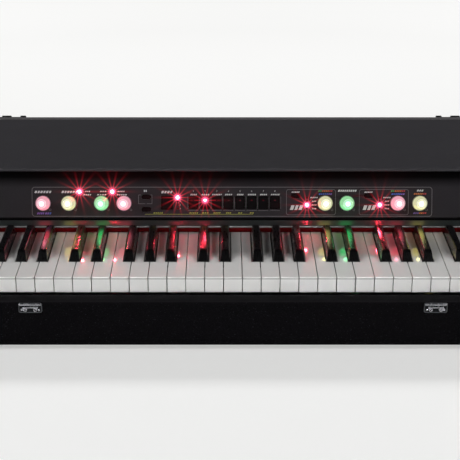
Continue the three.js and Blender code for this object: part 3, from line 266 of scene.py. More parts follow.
class Nodes:
    """The nodes of one tree, all made by one method."""

    def __init__(self, tree):
        self.tree = tree
        tree.nodes.clear()

    def node(self, kind, settings=None, sockets=None):
        """A node of one type, with its settings, then the values or links of its sockets."""
        node = given(self.tree.nodes.new("ShaderNode" + kind), **(settings or {}))
        for name, value in (sockets or {}).items():
            self.feed(node.inputs[name], value)
        return node

    def feed(self, socket, value):
        if isinstance(value, Signal):
            self.tree.links.new(value.socket, socket)
        elif socket.type == "RGBA" and len(value) == 3:
            socket.default_value = (*value, 1)
        else:
            socket.default_value = value

    def out(self, kind, settings=None, sockets=None, output=0):
        return Signal(self, self.node(kind, settings, sockets).outputs[output])

    def maths(self, operation, *values):
        return self.out("Math", {"operation": operation}, dict(enumerate(values)))

    def vector_maths(self, operation, *values, output=0):
        return self.out("VectorMath", {"operation": operation}, dict(enumerate(values)), output)

    def scaled(self, vector, amount):
        return self.out("VectorMath", {"operation": "SCALE"}, {0: vector, "Scale": amount})

    def place(self, centre=(0, 0, 0), turned=(0, 0, 0), size=(1, 1, 1)):
        """Object coordinates, seen from a centre, turned, and counted in steps of a size."""
        coordinates = self.out("TexCoord", output="Object")
        sockets = {"Vector": coordinates, "Location": centre, "Rotation": turned, "Scale": size}
        return self.out("Mapping", {"vector_type": "TEXTURE"}, sockets)

    def axes(self, vector):
        split = self.node("SeparateXYZ", None, {0: vector})
        return [Signal(self, output) for output in split.outputs]

    def grain(self, place, size, detail=2.0, roughness=0.5):
        """Noise of one grain size, about 0 to 1."""
        sockets = {"Vector": place, "Scale": 1 / size, "Detail": detail, "Roughness": roughness}
        return self.out("TexNoise", None, sockets, "Fac")

    def ramp(self, value, low, high, start=0.0, end=1.0):
        """Goes from start at the low value to end at the high one, and stays level outside them."""
        return self.out("MapRange", {"clamp": True}, {0: value, 1: low, 2: high, 3: start, 4: end})

    def fall(self, value, low, high):
        return self.ramp(value, low, high, 1.0, 0.0)

    def within(self, value, low, full, last, high):
        """Rises between the first two values and falls between the last two."""
        return self.ramp(value, low, full) * self.fall(value, last, high)

    def mixed(self, share, first, second):
        return self.out("Mix", {"data_type": "RGBA", "blend_type": "MIX"}, {0: share, 6: first, 7: second}, 2)


class Look(Nodes):
    """One procedural material around a Principled shader."""

    def __init__(self, name, **constants):
        self.material = bpy.data.materials.new(name)
        self.material.use_nodes = True
        super().__init__(self.material.node_tree)
        self.surface = self.node("BsdfPrincipled")
        self.set(**constants)
        self.node("OutputMaterial", None, {"Surface": Signal(self, self.surface.outputs[0])})

    def set(self, **sockets):
        """Values or links of the shader's sockets, with _ for the spaces in their names."""
        for name, value in sockets.items():
            self.feed(self.surface.inputs[name.replace("_", " ")], value)

    def finished(self, base, roughness, height=None, depth=0.0, **more):
        """The material, with its colour, its roughness and a fine relief."""
        self.set(Base_Color=base, Roughness=roughness, **more)
        if height:
            self.set(Normal=self.out("Bump", None, {"Height": height, "Distance": depth, "Strength": 1.0}))
        return self.material


def covered_cloth(case):
    """Black vinyl cloth with a pebble grain, its hollows painted darker than the crests as shade, and a few bright
    specks that are painted glints.

    The top of the front wall is smooth, and painted lighter where the light from above falls on it; the top edge of
    the rear wall carries a painted highlight in a pale strip."""
    look = Look("pebbled_cloth", Specular_IOR_Level=0.06)
    place = look.place()
    warp = look.grain(place, case.grain * 5, 1.0)
    shaken = look.vector_maths("ADD", place, look.scaled((1.0, 1.0, 1.0), warp * (case.grain * 1.5)))
    pebbles = look.out("TexVoronoi", {"feature": "SMOOTH_F1"}, {
        "Vector": shaken, "Scale": 1 / case.grain, "Smoothness": 0.4, "Randomness": 0.9,
    }, "Distance")
    fine = look.grain(place, case.grain * 0.45)
    cloudy = look.grain(place, 0.035, 3.0)
    crest = look.fall(pebbles, 0.15, 0.6)
    glint_speck = look.ramp(look.grain(place, case.grain * 1.3, 1.0), 0.68, 0.76)
    # painted shade: the hollows between the pebbles darker than their crests
    base = look.mixed(crest, times(case.cover, 0.5), times(case.cover, 1.2))
    # painted glints: a few bright specks
    base = look.mixed(glint_speck * 0.7, base, shade(62, 62, 68))
    base = look.mixed(look.ramp(cloudy, 0.35, 0.7, 0.0, 0.35), base, times(case.cover, 0.5))
    _, deep, high = look.axes(place)
    # the top of the front wall: smooth, and painted lighter as lit from above
    smooth_lit_front_top = look.ramp(high, 67.2 * MM, 67.6 * MM) * look.fall(deep, -187 * MM, -186 * MM)
    base = look.mixed(smooth_lit_front_top, base, look.mixed(fine, shade(22, 21, 23), shade(28, 27, 29)))
    # painted highlight: a pale strip along the top edge of the rear wall
    rear_edge_highlight = look.ramp(high, 174.8 * MM, 175.2 * MM) * look.ramp(deep, 193.5 * MM, 193.8 * MM)
    base = look.mixed(rear_edge_highlight, base, look.mixed(fine, shade(88, 86, 88), shade(102, 100, 102)))
    dull = look.ramp(crest + fine * 0.5, 0.2, 1.3, 0.85, 0.6)
    return look.finished(base, dull, (crest * 0.8 + fine * 0.3) * (1 - smooth_lit_front_top * 0.9), case.grain * 0.3)


def lamp_glow(look):
    """Painted light of the lit lamps on the surfaces round them, as emission: a pale core, painted rays round each
    lamp, a faint haze.
    """
    place = look.place(PANEL_PLACE.translation, (PANEL_TURN, 0, 0))
    cores, streaks, hazes = 0.0, 0.0, 0.0
    for x, up in LAMPS:
        offset = look.vector_maths("SUBTRACT", place, (x * MM, up * MM, 0.0))
        across, along, _ = look.axes(offset)
        radius = look.vector_maths("LENGTH", offset, output=1) / MM
        waves = look.maths("COSINE", look.maths("ARCTAN2", along, across) * 7.0)
        rays = look.maths("POWER", look.maths("ABSOLUTE", waves), 10.0)
        cores = look.maths("EXPONENT", radius * -0.85) + cores
        streaks = look.maths("EXPONENT", radius * -0.16) * rays + streaks
        hazes = look.maths("EXPONENT", radius * -0.06) + hazes
    core = look.scaled((38.0, 4.2, 8.6), cores)
    streak = look.scaled((1.9, 0.03, 0.07), streaks)
    haze = look.scaled((0.02, 0.0015, 0.002), hazes)
    return look.vector_maths("ADD", look.vector_maths("ADD", core, streak), haze)


def moulded(name, tone, roughness, level=0.3, grain=0.0006, depth=0.00003, lamps=False, hood_shadow_above=None):
    """Painted or moulded surface with a fine texture and faint mottling. It may carry the painted glow of the lit
    lamps, and above a height a painted shadow of the hood, nearly black.
    """
    look = Look(name, Specular_IOR_Level=level)
    if lamps:
        # painted light: the glow of the lit lamps, as emission
        look.set(Emission_Strength=1.0, Emission_Color=lamp_glow(look))
    place = look.place()
    fine = look.grain(place, grain)
    broad = look.grain(place, 0.05, 3.0)
    base = look.mixed(look.ramp(fine, 0.3, 0.7), times(tone, 0.9), times(tone, 1.1))
    base = look.mixed(look.ramp(broad, 0.35, 0.65, 0.0, 0.25), base, times(tone, 0.86))
    dull = look.ramp(broad + fine * 0.4, 0.5, 0.9, roughness - 0.04, roughness + 0.05)
    if hood_shadow_above:
        # painted shadow of the hood: above a height the tone turns nearly black
        shaded = look.ramp(look.axes(place)[2], (hood_shadow_above - 13) * MM, hood_shadow_above * MM)
        base = look.mixed(shaded * 0.97, base, (0.0006, 0.0006, 0.0007))
        dull = dull + shaded * 0.5
    return look.finished(base, dull, fine, depth)


def felt_cloth(case):
    """Pressed wool with short fibres."""
    look = Look("pressed_felt", Specular_IOR_Level=0.02, Sheen_Weight=0.04, Sheen_Roughness=0.6)
    fibres = look.grain(look.place(size=(3, 1, 1)), 0.0007, 4.0, 0.7)
    clumps = look.grain(look.place(), 0.006)
    base = look.mixed(look.ramp(fibres, 0.3, 0.7), times(case.felt, 0.6), times(case.felt, 1.25))
    base = look.mixed(look.ramp(clumps, 0.4, 0.7, 0.0, 0.4), base, times(case.felt, 0.55))
    return look.finished(base, look.ramp(fibres, 0, 1, 0.85, 1.0), fibres, 0.0004)


def polished_key(name, tone, fleck, under_gloss, roughness, coat_roughness, rub, cap=False):
    """Polished key plastic: a clear coat over a tone with hardly visible clouds and fine rubbing marks.

    A key with a cap has a painted highlight along its front edge, and a painted shadow in a thin line under the cap's
    lip."""
    look = Look(name, Specular_IOR_Level=under_gloss, Coat_Weight=1.0, Coat_Roughness=coat_roughness, Coat_IOR=1.5)
    place = look.place()
    clouds = look.grain(place, 0.03, 3.0)
    rubbed = look.grain(look.place(size=(0.35, 3, 1)), 0.004, 4.0, 0.6)
    base = look.mixed(look.ramp(clouds, 0.4, 0.7), tone, fleck)
    if cap:
        _, deep, high = look.axes(place)
        top = KEY_LEVEL * MM
        # painted highlight along the front edge of the cap
        edge = look.fall(deep, (1.1 - SHIFT) * MM, (1.7 - SHIFT) * MM) * look.ramp(high, top - 0.0013, top - 0.0008)
        # painted shadow: a thin dark line under the cap's lip
        lip_shadow = look.within(high, top - 0.0037, top - 0.0033, top - 0.0013, top - 0.0009)
        lip_shadow = lip_shadow * look.fall(deep, (3.4 - SHIFT) * MM, (3.8 - SHIFT) * MM)
        base = look.mixed(edge, base, (1.0, 0.995, 0.98))
        base = look.mixed(lip_shadow * 0.8, base, times(tone, 0.5))
    return look.finished(base, look.ramp(rubbed, 0.35, 0.75, roughness * 0.85, roughness * 1.2), rubbed, rub)


def metal(name, tone, roughness, stretch=(1, 1, 1), tarnish=0.35):
    """Plated or rolled metal with fine scratches and duller patches."""
    look = Look(name, Metallic=1.0)
    scratches = look.grain(look.place(size=stretch), 0.0007, 4.0, 0.65)
    worn = look.ramp(look.grain(look.place(), 0.006, 3.0), 0.42, 0.68)
    base = look.mixed(worn * tarnish, tone, times(tone, 0.45))
    dull = look.ramp(scratches + worn * 0.5, 0.3, 1.1, roughness * 0.7, roughness * 1.5)
    return look.finished(base, dull, scratches, 0.00003)


def lit_resin(name, hue, glow, centre):
    """Frosted resin lit from behind: a hot spot over the lamp, and darker ring grooves round a paler top. Painted
    shade darkens the wide ring at the foot and the part low down by the panel, and the glow is painted darker where
    the surface turns edge-on.
    """
    side, top, lamp_tone, under = RESINS[hue]
    look = Look(name, Specular_IOR_Level=0.4, Emission_Strength=glow)
    spot = look.place(centre, (PANEL_TURN, 0, 0))
    across, along, high = look.axes(spot)
    radius = look.vector_maths("LENGTH", look.out("CombineXYZ", None, {0: across, 1: along, 2: 0.0}), output=1)
    reach = radius / (KNOB_RADIUS * MM)
    rings = look.maths("SINE", reach * 66.0)
    cloud = look.grain(spot, 0.0025)
    on_side = look.ramp(reach, 0.62, 0.7)
    groove = look.within(reach, 0.4, 0.44, 0.5, 0.54)
    rim = look.within(reach, 0.6, 0.63, 0.66, 0.7)
    # painted shade on the wide ring at the foot and low down by the panel
    skirt_shade = look.maths("MAXIMUM", look.ramp(reach, 0.9, 0.94), look.fall(high, 0.0005, 0.003))
    facing = look.axes(look.out("NewGeometry", output="Normal"))[2]
    edge_on = look.out("LayerWeight", None, {"Blend": 0.5}, "Facing")
    from_below = look.ramp(facing, -0.15, -0.55) * look.fall(edge_on, 0.5, 0.8)

    tone = look.mixed(on_side, top, side)
    tone = look.mixed(look.ramp(rings, 0.1, 1.0, 0.0, 0.4) * on_side, tone, times(side, 0.35))
    tone = look.mixed(look.ramp(cloud, 0.35, 0.75, 0.0, 0.25), tone, times(top, 0.6))
    tone = look.mixed(groove * 0.45, tone, times(side, 0.4))
    tone = look.mixed(rim * 0.5, tone, times(side, 0.35))
    tone = look.mixed(skirt_shade * 0.94, tone, times(side, 0.12))
    tone = look.mixed(look.maths("POWER", look.fall(reach, 0.2, 0.36), 2.0), tone, lamp_tone)
    tone = look.mixed(from_below * (1 - skirt_shade), tone, under)
    # painted shade: the glow darker where the surface turns edge-on to the view
    tone = look.scaled(tone, 1.0 - look.maths("POWER", edge_on, 4.0) * 0.35)
    base = look.mixed(skirt_shade, times(top, 0.3), times(top, 0.045))
    return look.finished(base, look.ramp(cloud, 0.3, 0.7, 0.25, 0.4), rings * on_side, 0.00006, Emission_Color=tone)


def glowing(name, tone, glow, body):
    """Small lens or window with a lamp behind it, brightest in the middle of its grain."""
    look = Look(name, Specular_IOR_Level=0.5, Emission_Strength=glow)
    cloud = look.grain(look.place(), 0.0012, 1.0)
    light = look.mixed(look.ramp(cloud, 0.3, 0.7, 0.0, 0.3), tone, times(tone, 0.7))
    return look.finished(body, look.ramp(cloud, 0.3, 0.7, 0.12, 0.22), Emission_Color=light)


def printed(name, tone):
    """Screen print: slightly uneven ink, which also carries the painted glow of the lit lamps."""
    look = Look(name, Specular_IOR_Level=0.3, Emission_Strength=1.0)
    ink = look.grain(look.place(), 0.0005)
    base = look.mixed(look.ramp(ink, 0.35, 0.7), tone, times(tone, 0.78))
    return look.finished(base, look.ramp(ink, 0.3, 0.7, 0.5, 0.65), Emission_Color=lamp_glow(look))


def laminate(name, socket_blocks=False):
    """Green circuit laminate with a grid of paler tracks. Socket blocks that stand on it are black plastic."""
    look = Look(name, Specular_IOR_Level=0.45)
    place = look.place()
    tracks = look.out("TexBrick", {"offset": 0.5}, {
        "Vector": place, "Scale": 160.0, "Mortar Size": 0.03, "Color1": shade(20, 82, 44),
        "Color2": shade(24, 92, 50), "Mortar": shade(58, 138, 84),
    }, "Color")
    fine = look.grain(place, 0.0008)
    base = look.mixed(look.ramp(fine, 0.4, 0.8, 0.0, 0.3), tracks, shade(12, 60, 30))
    if socket_blocks:
        _, deep, high = look.axes(place)
        board = look.within(high, 45.0 * MM, 45.1 * MM, 47.0 * MM, 47.1 * MM)
        board = board * look.fall(deep, 193.5 * MM, 193.8 * MM)
        base = look.mixed(board, look.mixed(fine, shade(12, 12, 13), shade(18, 18, 19)), base)
    return look.finished(base, look.ramp(fine, 0.3, 0.7, 0.35, 0.5))


# ---------------------------------------------------------------- modelling by hand


def let_go():
    bpy.ops.object.select_all(action="DESELECT")


def pick(*pieces):
    let_go()
    for piece in pieces:
        piece.select_set(True)
    bpy.context.view_layer.objects.active = pieces[0]


class Editing:
    """Edit mode on one piece, at first with everything selected."""

    def __init__(self, piece):
        self.piece = piece

    def __enter__(self):
        pick(self.piece)
        bpy.ops.object.mode_set(mode="EDIT")
        bpy.ops.mesh.select_mode(type="VERT")
        bpy.ops.mesh.select_all(action="SELECT")
        return self

    def __exit__(self, *_):
        bpy.ops.object.mode_set(mode="OBJECT")

    def choose(self, kind, rule):
        """Selects the faces, edges or verts that a rule picks by their place."""
        modes = {"faces": "FACE", "edges": "EDGE", "verts": "VERT"}
        bpy.ops.mesh.select_mode(type=modes[kind])
        bpy.ops.mesh.select_all(action="DESELECT")
        mesh = bmesh.from_edit_mesh(self.piece.data)
        mesh.normal_update()
        for element in getattr(mesh, kind):
            if rule(element):
                element.select_set(True)
        mesh.select_flush_mode()
        bmesh.update_edit_mesh(self.piece.data)

    def paint(self, index, rule):
        """Gives the faces that a rule picks another of the piece's materials."""
        self.choose("faces", rule)
        self.piece.active_material_index = index
        bpy.ops.object.material_slot_assign()


def raise_faces(height):
    """Extrudes what is selected upwards, in millimetres."""
    bpy.ops.mesh.extrude_region_move(TRANSFORM_OT_translate={"value": (0, 0, height * MM)})


def face_outwards(doubles=0.0):
    """Turns all faces outwards, and first merges doubles that are nearer than a distance."""
    bpy.ops.mesh.select_all(action="SELECT")
    if doubles:
        bpy.ops.mesh.remove_doubles(threshold=doubles)
    bpy.ops.mesh.normals_make_consistent(inside=False)


def hollow_out(line, height):
    """Makes the one face a frame of a line's width, with a height. Millimetres."""
    bpy.ops.mesh.inset(thickness=line * MM)
    bpy.ops.mesh.delete(type="ONLY_FACE")
    bpy.ops.mesh.select_all(action="SELECT")
    raise_faces(height)
    face_outwards()


def middle(element):
    return sum((v.co for v in element.verts), Vector()) / len(element.verts)


def named(name):
    piece = bpy.context.object
    piece.name = piece.data.name = name
    return piece


def fixed(name):
    """The active piece, named, with its place, turn and size applied to its mesh."""
    bpy.ops.object.transform_apply(location=True, rotation=True, scale=True)
    return named(name)


def remove(*pieces):
    pick(*pieces)
    bpy.ops.object.delete()


def smoothed(piece, angle=35):
    pick(piece)
    bpy.ops.object.shade_smooth_by_angle(angle=radians(angle))
    return piece


def applied(piece, kind, **settings):
    """Adds one modifier and applies it."""
    pick(piece)
    bpy.ops.object.modifier_add(type=kind)
    modifier = given(piece.modifiers[-1], **settings)
    bpy.ops.object.modifier_apply(modifier=modifier.name)
    return piece


def evened(piece, angle):
    """Smooth shading up to an angle, with the flats kept flat."""
    return applied(smoothed(piece, angle), "WEIGHTED_NORMAL", keep_sharp=True)


def cut(piece, cutter):
    """Takes one piece out of another."""
    applied(piece, "BOOLEAN", operation="DIFFERENCE", object=cutter, solver="EXACT")
    remove(cutter)
    return piece


def softened(piece, width, segments=2, angle=30):
    """Rounds every edge sharper than an angle, by a width in millimetres."""
    applied(piece, "BEVEL", width=width * MM, segments=segments, limit_method="ANGLE", angle_limit=radians(angle),
            miter_outer="MITER_ARC", use_clamp_overlap=True)
    return evened(piece, 40)


def weighed(piece, width, rule, segments=3):
    """Rounds each edge by its own share of a width, which a rule gives."""
    working = bmesh.new()
    working.from_mesh(piece.data)
    layer = working.edges.layers.float.new("bevel_weight_edge")
    for edge in working.edges:
        edge[layer] = rule(edge)
    working.to_mesh(piece.data)
    working.free()
    applied(piece, "BEVEL", width=width, segments=segments, limit_method="WEIGHT", use_clamp_overlap=True)
    return evened(piece, 50)


def skin_of(node, name):
    """A copy of a node's mesh to work on, with doubles merged, flat triangles joined and all faces outwards."""
    piece = bpy.data.objects.new(name, NODES[node].data.copy())
    piece.data.materials.clear()
    bpy.context.scene.collection.objects.link(piece)
    with Editing(piece):
        bpy.ops.mesh.remove_doubles(threshold=2e-6)
        bpy.ops.mesh.dissolve_limited(angle_limit=radians(0.4))
        bpy.ops.mesh.normals_make_consistent(inside=False)
    return piece


def block(name, low, high):
    """A cube added at its size and place, in millimetres."""
    centre = [(a + b) / 2 * MM for a, b in zip(low, high)]
    size = [(b - a) * MM for a, b in zip(low, high)]
    let_go()
    bpy.ops.mesh.primitive_cube_add(size=1, location=centre, scale=size)
    return fixed(name)


def sheet(name, left, right, low, high, level=0.0):
    """A plane in X and Y, scaled to its size. Millimetres."""
    let_go()
    bpy.ops.mesh.primitive_plane_add(size=1, location=((left + right) / 2 * MM, (low + high) / 2 * MM, level * MM))
    bpy.ops.transform.resize(value=((right - left) * MM, (high - low) * MM, 1))
    return fixed(name)


def disc(name, sides, x, y, radius):
    """A filled circle in X and Y. Millimetres."""
    let_go()
    bpy.ops.mesh.primitive_circle_add(
        vertices=sides, radius=radius * MM, fill_type="NGON", location=(x * MM, y * MM, 0))
    return fixed(name)


def rounded(corners, steps=6):
    """Corners as (a, b, radius) in millimetres become the points of a closed outline."""
    points = []
    for i, corner in enumerate(corners):
        here = Vector(corner[:2])
        radius = corner[2] if len(corner) > 2 else 0
        if not radius:
            points.append(here)
            continue
        back = (Vector(corners[i - 1][:2]) - here).normalized()
        on = (Vector(corners[(i + 1) % len(corners)][:2]) - here).normalized()
        half = back.angle(on) / 2
        centre = here + (back + on).normalized() * (radius / sin(half))
        start = here + back * (radius / tan(half)) - centre
        end = here + on * (radius / tan(half)) - centre
        angle = atan2(start.x * end.y - start.y * end.x, start.dot(end))
        for k in range(steps + 1):
            a = angle * k / steps
            points.append(centre + Vector((start.x * cos(a) - start.y * sin(a), start.x * sin(a) + start.y * cos(a))))
    return points


def traced(name, points, close=True):
    """Points in metres drawn one after another by extruding a vertex."""
    let_go()
    bpy.ops.mesh.primitive_plane_add(size=0.001, location=(0, 0, 0))
    piece = named(name)
    with Editing(piece):
        bpy.ops.mesh.merge(type="CENTER")
        bpy.ops.transform.translate(value=points[0])
        for before, after in zip(points, points[1:]):
            bpy.ops.mesh.extrude_vertices_move(TRANSFORM_OT_translate={"value": after - before})
        if close:
            bpy.ops.mesh.select_all(action="SELECT")
            bpy.ops.mesh.edge_face_add()
    return piece


def drawn(name, outline, half):
    """An outline of (y, z) carried along X, from one side to the other. Millimetres, y from the key fronts."""
    piece = traced(name, [Vector((-half, y - SHIFT, z)) * MM for y, z in outline])
    with Editing(piece):
        bpy.ops.mesh.extrude_region_move(TRANSFORM_OT_translate={"value": Vector((2 * half, 0, 0)) * MM})
        face_outwards()
    return piece


def turned(name, half_outline, steps=32, smooth=35):
    """A half outline of (radius, height) in millimetres, spun round the Z axis."""
    piece = traced(name, [Vector((r, 0, h)) * MM for r, h in half_outline], close=False)
    with Editing(piece):
        bpy.ops.mesh.spin(steps=steps, angle=tau, center=(0, 0, 0), axis=(0, 0, 1))
        face_outwards(2e-6)
    return smoothed(piece, smooth)


def pad(name, width, height, low, high, corner=0.0, steps=3, edge=0.0, dish=()):
    """A rounded plate in X and Y: a plane with bevelled corners, extruded and drawn in level by level. Millimetres.

    The dish lists further levels as (how far in from the side, height)."""
    piece = sheet(name, -width / 2, width / 2, -height / 2, height / 2, low)
    levels = [(0, low), (0, high - edge), *([(edge, high)] if edge else []), *dish]
    with Editing(piece):
        if corner:
            bpy.ops.mesh.bevel(offset=corner * MM, segments=steps, affect="VERTICES", clamp_overlap=True)
            bpy.ops.mesh.select_all(action="SELECT")
        for (inside, below), (further, above) in zip(levels, levels[1:]):
            raise_faces(above - below)
            if further != inside:
                drawn_in = [(side - 2 * further) / (side - 2 * inside) for side in (width, height)]
                bpy.ops.transform.resize(value=(*drawn_in, 1), center_override=(0, 0, above * MM))
        face_outwards(1e-6)
    return piece


def frame_strip(name, left, right, low, high, corner, line, thick):
    """A printed frame with rounded corners. Millimetres."""
    piece = sheet(name, left, right, low, high)
    with Editing(piece):
        bpy.ops.mesh.bevel(offset=corner * MM, segments=6, affect="VERTICES")
        bpy.ops.mesh.select_all(action="SELECT")
        hollow_out(line, thick)
    return piece


def broken_bar(x, y, width, height, parts, slant=0.35):
    """Slanting blocks side by side that make up one printed bar."""
    pitch = width / parts
    return [
        (x - width / 2 + pitch * (i + 0.5), y, pitch * (0.62 if i % 2 else 0.74), height, slant * height)
        for i in range(parts)
    ]


def tiles(name, bars, thick):
    """Thin bars as (x, y, width, height, slant) in millimetres, all in one piece. The slant moves their tops."""
    x, y, width, height, _ = bars[0]
    piece = block(name, (x - width / 2, y - height / 2, 0), (x + width / 2, y + height / 2, thick))
    with Editing(piece) as edit:
        for index, (x, y, width, height, slant) in enumerate(bars):
            if index:
                bpy.ops.mesh.select_all(action="DESELECT")
                bpy.ops.mesh.primitive_cube_add(
                    size=1, location=(x * MM, y * MM, thick / 2 * MM), scale=(width * MM, height * MM, thick * MM))
            if slant:
                mesh = bmesh.from_edit_mesh(edit.piece.data)
                for vert in mesh.verts:
                    if vert.select and vert.co.y < y * MM:
                        vert.select_set(False)
                bmesh.update_edit_mesh(edit.piece.data)
                bpy.ops.transform.translate(value=(slant * MM, 0, 0))
    return piece


def numeral(number, x, y, size, thick):
    """A plain number as a thin mesh centred on a place. Millimetres."""
    let_go()
    bpy.ops.object.text_add(location=(x * MM, y * MM, thick / 2 * MM))
    given(bpy.context.object.data, body=str(number), size=size * MM, extrude=thick / 2 * MM, align_x="CENTER",
          align_y="CENTER", resolution_u=3)
    bpy.ops.object.convert(target="MESH")
    piece = fixed(f"number_{number}")
    with Editing(piece):
        bpy.ops.mesh.remove_doubles(threshold=1e-6)
    return piece


def joined(name, pieces):
    pick(*pieces)
    if len(pieces) > 1:
        bpy.ops.object.join()
    return named(name)


def moved(piece, place):
    """Puts a piece at a place, given as a matrix, and applies it to the mesh."""
    pick(piece)
    piece.matrix_world = place
    bpy.ops.object.transform_apply(location=True, rotation=True, scale=True)
    return piece


def copies(master, places):
    """Copies of a modelled piece, each with its own mesh."""
    made = []
    for place in places:
        pick(master)
        bpy.ops.object.duplicate(linked=False)
        made.append(moved(bpy.context.object, place))
    return made


def copy_of(master, name, place):
    piece = copies(master, [place])[0]
    piece.name = name
    return piece


def crossed(screw, span, width, low, high):
    """Cuts a cross into a screw head. Millimetres."""
    for sides in ((span, width), (width, span)):
        cut(screw, pad("slot", *sides, low, high))
    return screw


def panel_box(node):
    """Middle, width and height of a node along the panel, in millimetres."""
    inverse = PANEL_PLACE.inverted()
    corners = [inverse @ vert.co / MM for vert in NODES[node].data.vertices]
    (left, right), (low, high) = [(min(c[i] for c in corners), max(c[i] for c in corners)) for i in range(2)]
    return (left + right) / 2, (low + high) / 2, right - left, high - low


def dressed(piece, *materials):
    piece.data.materials.clear()
    for material in materials:
        piece.data.materials.append(material)
    return piece


def settled(piece, material, body, slot, *nodes):
    """Makes a finished piece ride on its body, take the given material, if any, and stand for its nodes, which it
    hides. The slot is not used.
    """
    if material:
        dressed(piece, material)
    let_go()
    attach(piece, body)
    if nodes:
        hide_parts(*nodes)


# ---------------------------------------------------------------- pieces


class Builder:
    bl_options = {"REGISTER", "UNDO"}

    def execute(self, context):
        self.build(context.scene)
        return {"FINISHED"}


class PIANO_OT_case(Builder, bpy.types.Operator):
    """Covered tray and the blocks beside the keys"""

    bl_idname = "piano.build_case"
    bl_label = "Case"

    def build(self, scene):
        tray = smoothed(skin_of("case_tray", "covered_tray"))
        settled(tray, covered_cloth(scene.piano_case), "case", "tolex", "case_tray")
        satin = moulded("satin_block", shade(24, 24, 26), 0.42)
        for side in ("left", "right"):
            cheek = softened(skin_of(f"cheek_block_{side}", f"end_block_{side}"), 1.2, 3)
            settled(cheek, satin, "case", "cheek", f"cheek_block_{side}")


class PIANO_OT_feet(Builder, bpy.types.Operator):
    """Four rubber feet, each with a groove, a hollow sole and a screw"""

    bl_idname = "piano.build_feet"
    bl_label = "Feet"

    def build(self, scene):
        groove = 16.4 - scene.piano_case.foot_groove / MM
        foot = turned("foot_master", [
            (0, 2.4), (7.5, 2.4), (8, 0.5), (8.6, 0), (16.1, 0), (16.9, 0.4), (17, 1.1), (16.9, 2), (16.4, 2.9),
            (groove, 3.2), (groove, 4.2), (16.1, 4.5), (15.2, 8.2), (14.8, 8.7), (0, 8.7),
        ], 40)
        screw = turned("screw_master", [
            (0, 1.3), (1.2, 1.3), (1.3, 0.9), (3.4, 1.1), (4.2, 1.8), (4.2, 2.5), (0, 2.5),
        ], 24)
        rubber = moulded("black_rubber", shade(24, 24, 25), 0.8, 0.25, 0.0009, 0.00005)
        steel = metal("screw_steel", shade(150, 150, 154), 0.3)
        for node in ("foot_front_left", "foot_front_right", "foot_rear_left", "foot_rear_right"):
            low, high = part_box(node)
            place = Matrix.Translation(Vector(((low.x + high.x) / 2, (low.y + high.y) / 2, 0)))
            settled(copy_of(foot, node.replace("foot", "rubber_foot"), place), rubber, "case", "rubber", node)
            settled(copy_of(screw, node.replace("foot", "foot_screw"), place), steel, "case", "fitting_metal", node)
        remove(foot, screw)


class PIANO_OT_inside(Builder, bpy.types.Operator):
    """Finishes of the extrusion and the boards inside"""

    bl_idname = "piano.finish_inside"
    bl_label = "Inside"

    def build(self, scene):
        finishes = {
            "key_frame": metal("mill_aluminium", shade(172, 172, 175), 0.38, (40, 1, 1), 0.2),
            "panel_board": laminate("green_laminate"),
            "jack_board": laminate("green_laminate_with_sockets", True),
        }
        for node, material in finishes.items():
            for slot in NODES[node].material_slots:
                slot.material = material


class PIANO_OT_white_keys(Builder, bpy.types.Operator):
    """White keys with rounded tops and fronts"""

    bl_idname = "piano.build_white_keys"
    bl_label = "White keys"

    def build(self, scene):
        keys = scene.piano_keys
        front = -SHIFT * MM
        share = keys.edge_round / keys.front_round
        ivory = polished_key(
            "white_key_plastic", keys.ivory, times(keys.ivory, 0.97), 0.15, 0.4, 0.05, 0.0000006, cap=True)

        def weight(edge):
            if len(edge.link_faces) != 2 or edge.calc_face_angle(0) < radians(20):
                return 0.0
            a, b = (v.co for v in edge.verts)
            low, high, rear = min(a.z, b.z), max(a.z, b.z), max(a.y, b.y)
            on_front = rear < front + 0.3 * MM
            if rear > front + 170 * MM:
                return 0.0
            if low > (KEY_LEVEL - 0.1) * MM:
                return 1.0 if on_front else share
            if on_front and high < (KEY_LEVEL - 1.9) * MM:
                return 0.25
            return share * 0.6 if low > (KEY_LEVEL - 3) * MM or rear < front + 3 * MM else 0.0

        for node in WHITE_NODES:
            name = node.replace("white_keys", "ivory_keys").replace("key_", "ivory_key_")
            settled(weighed(skin_of(node, name), keys.front_round, weight), ivory, node, "ivory", node)


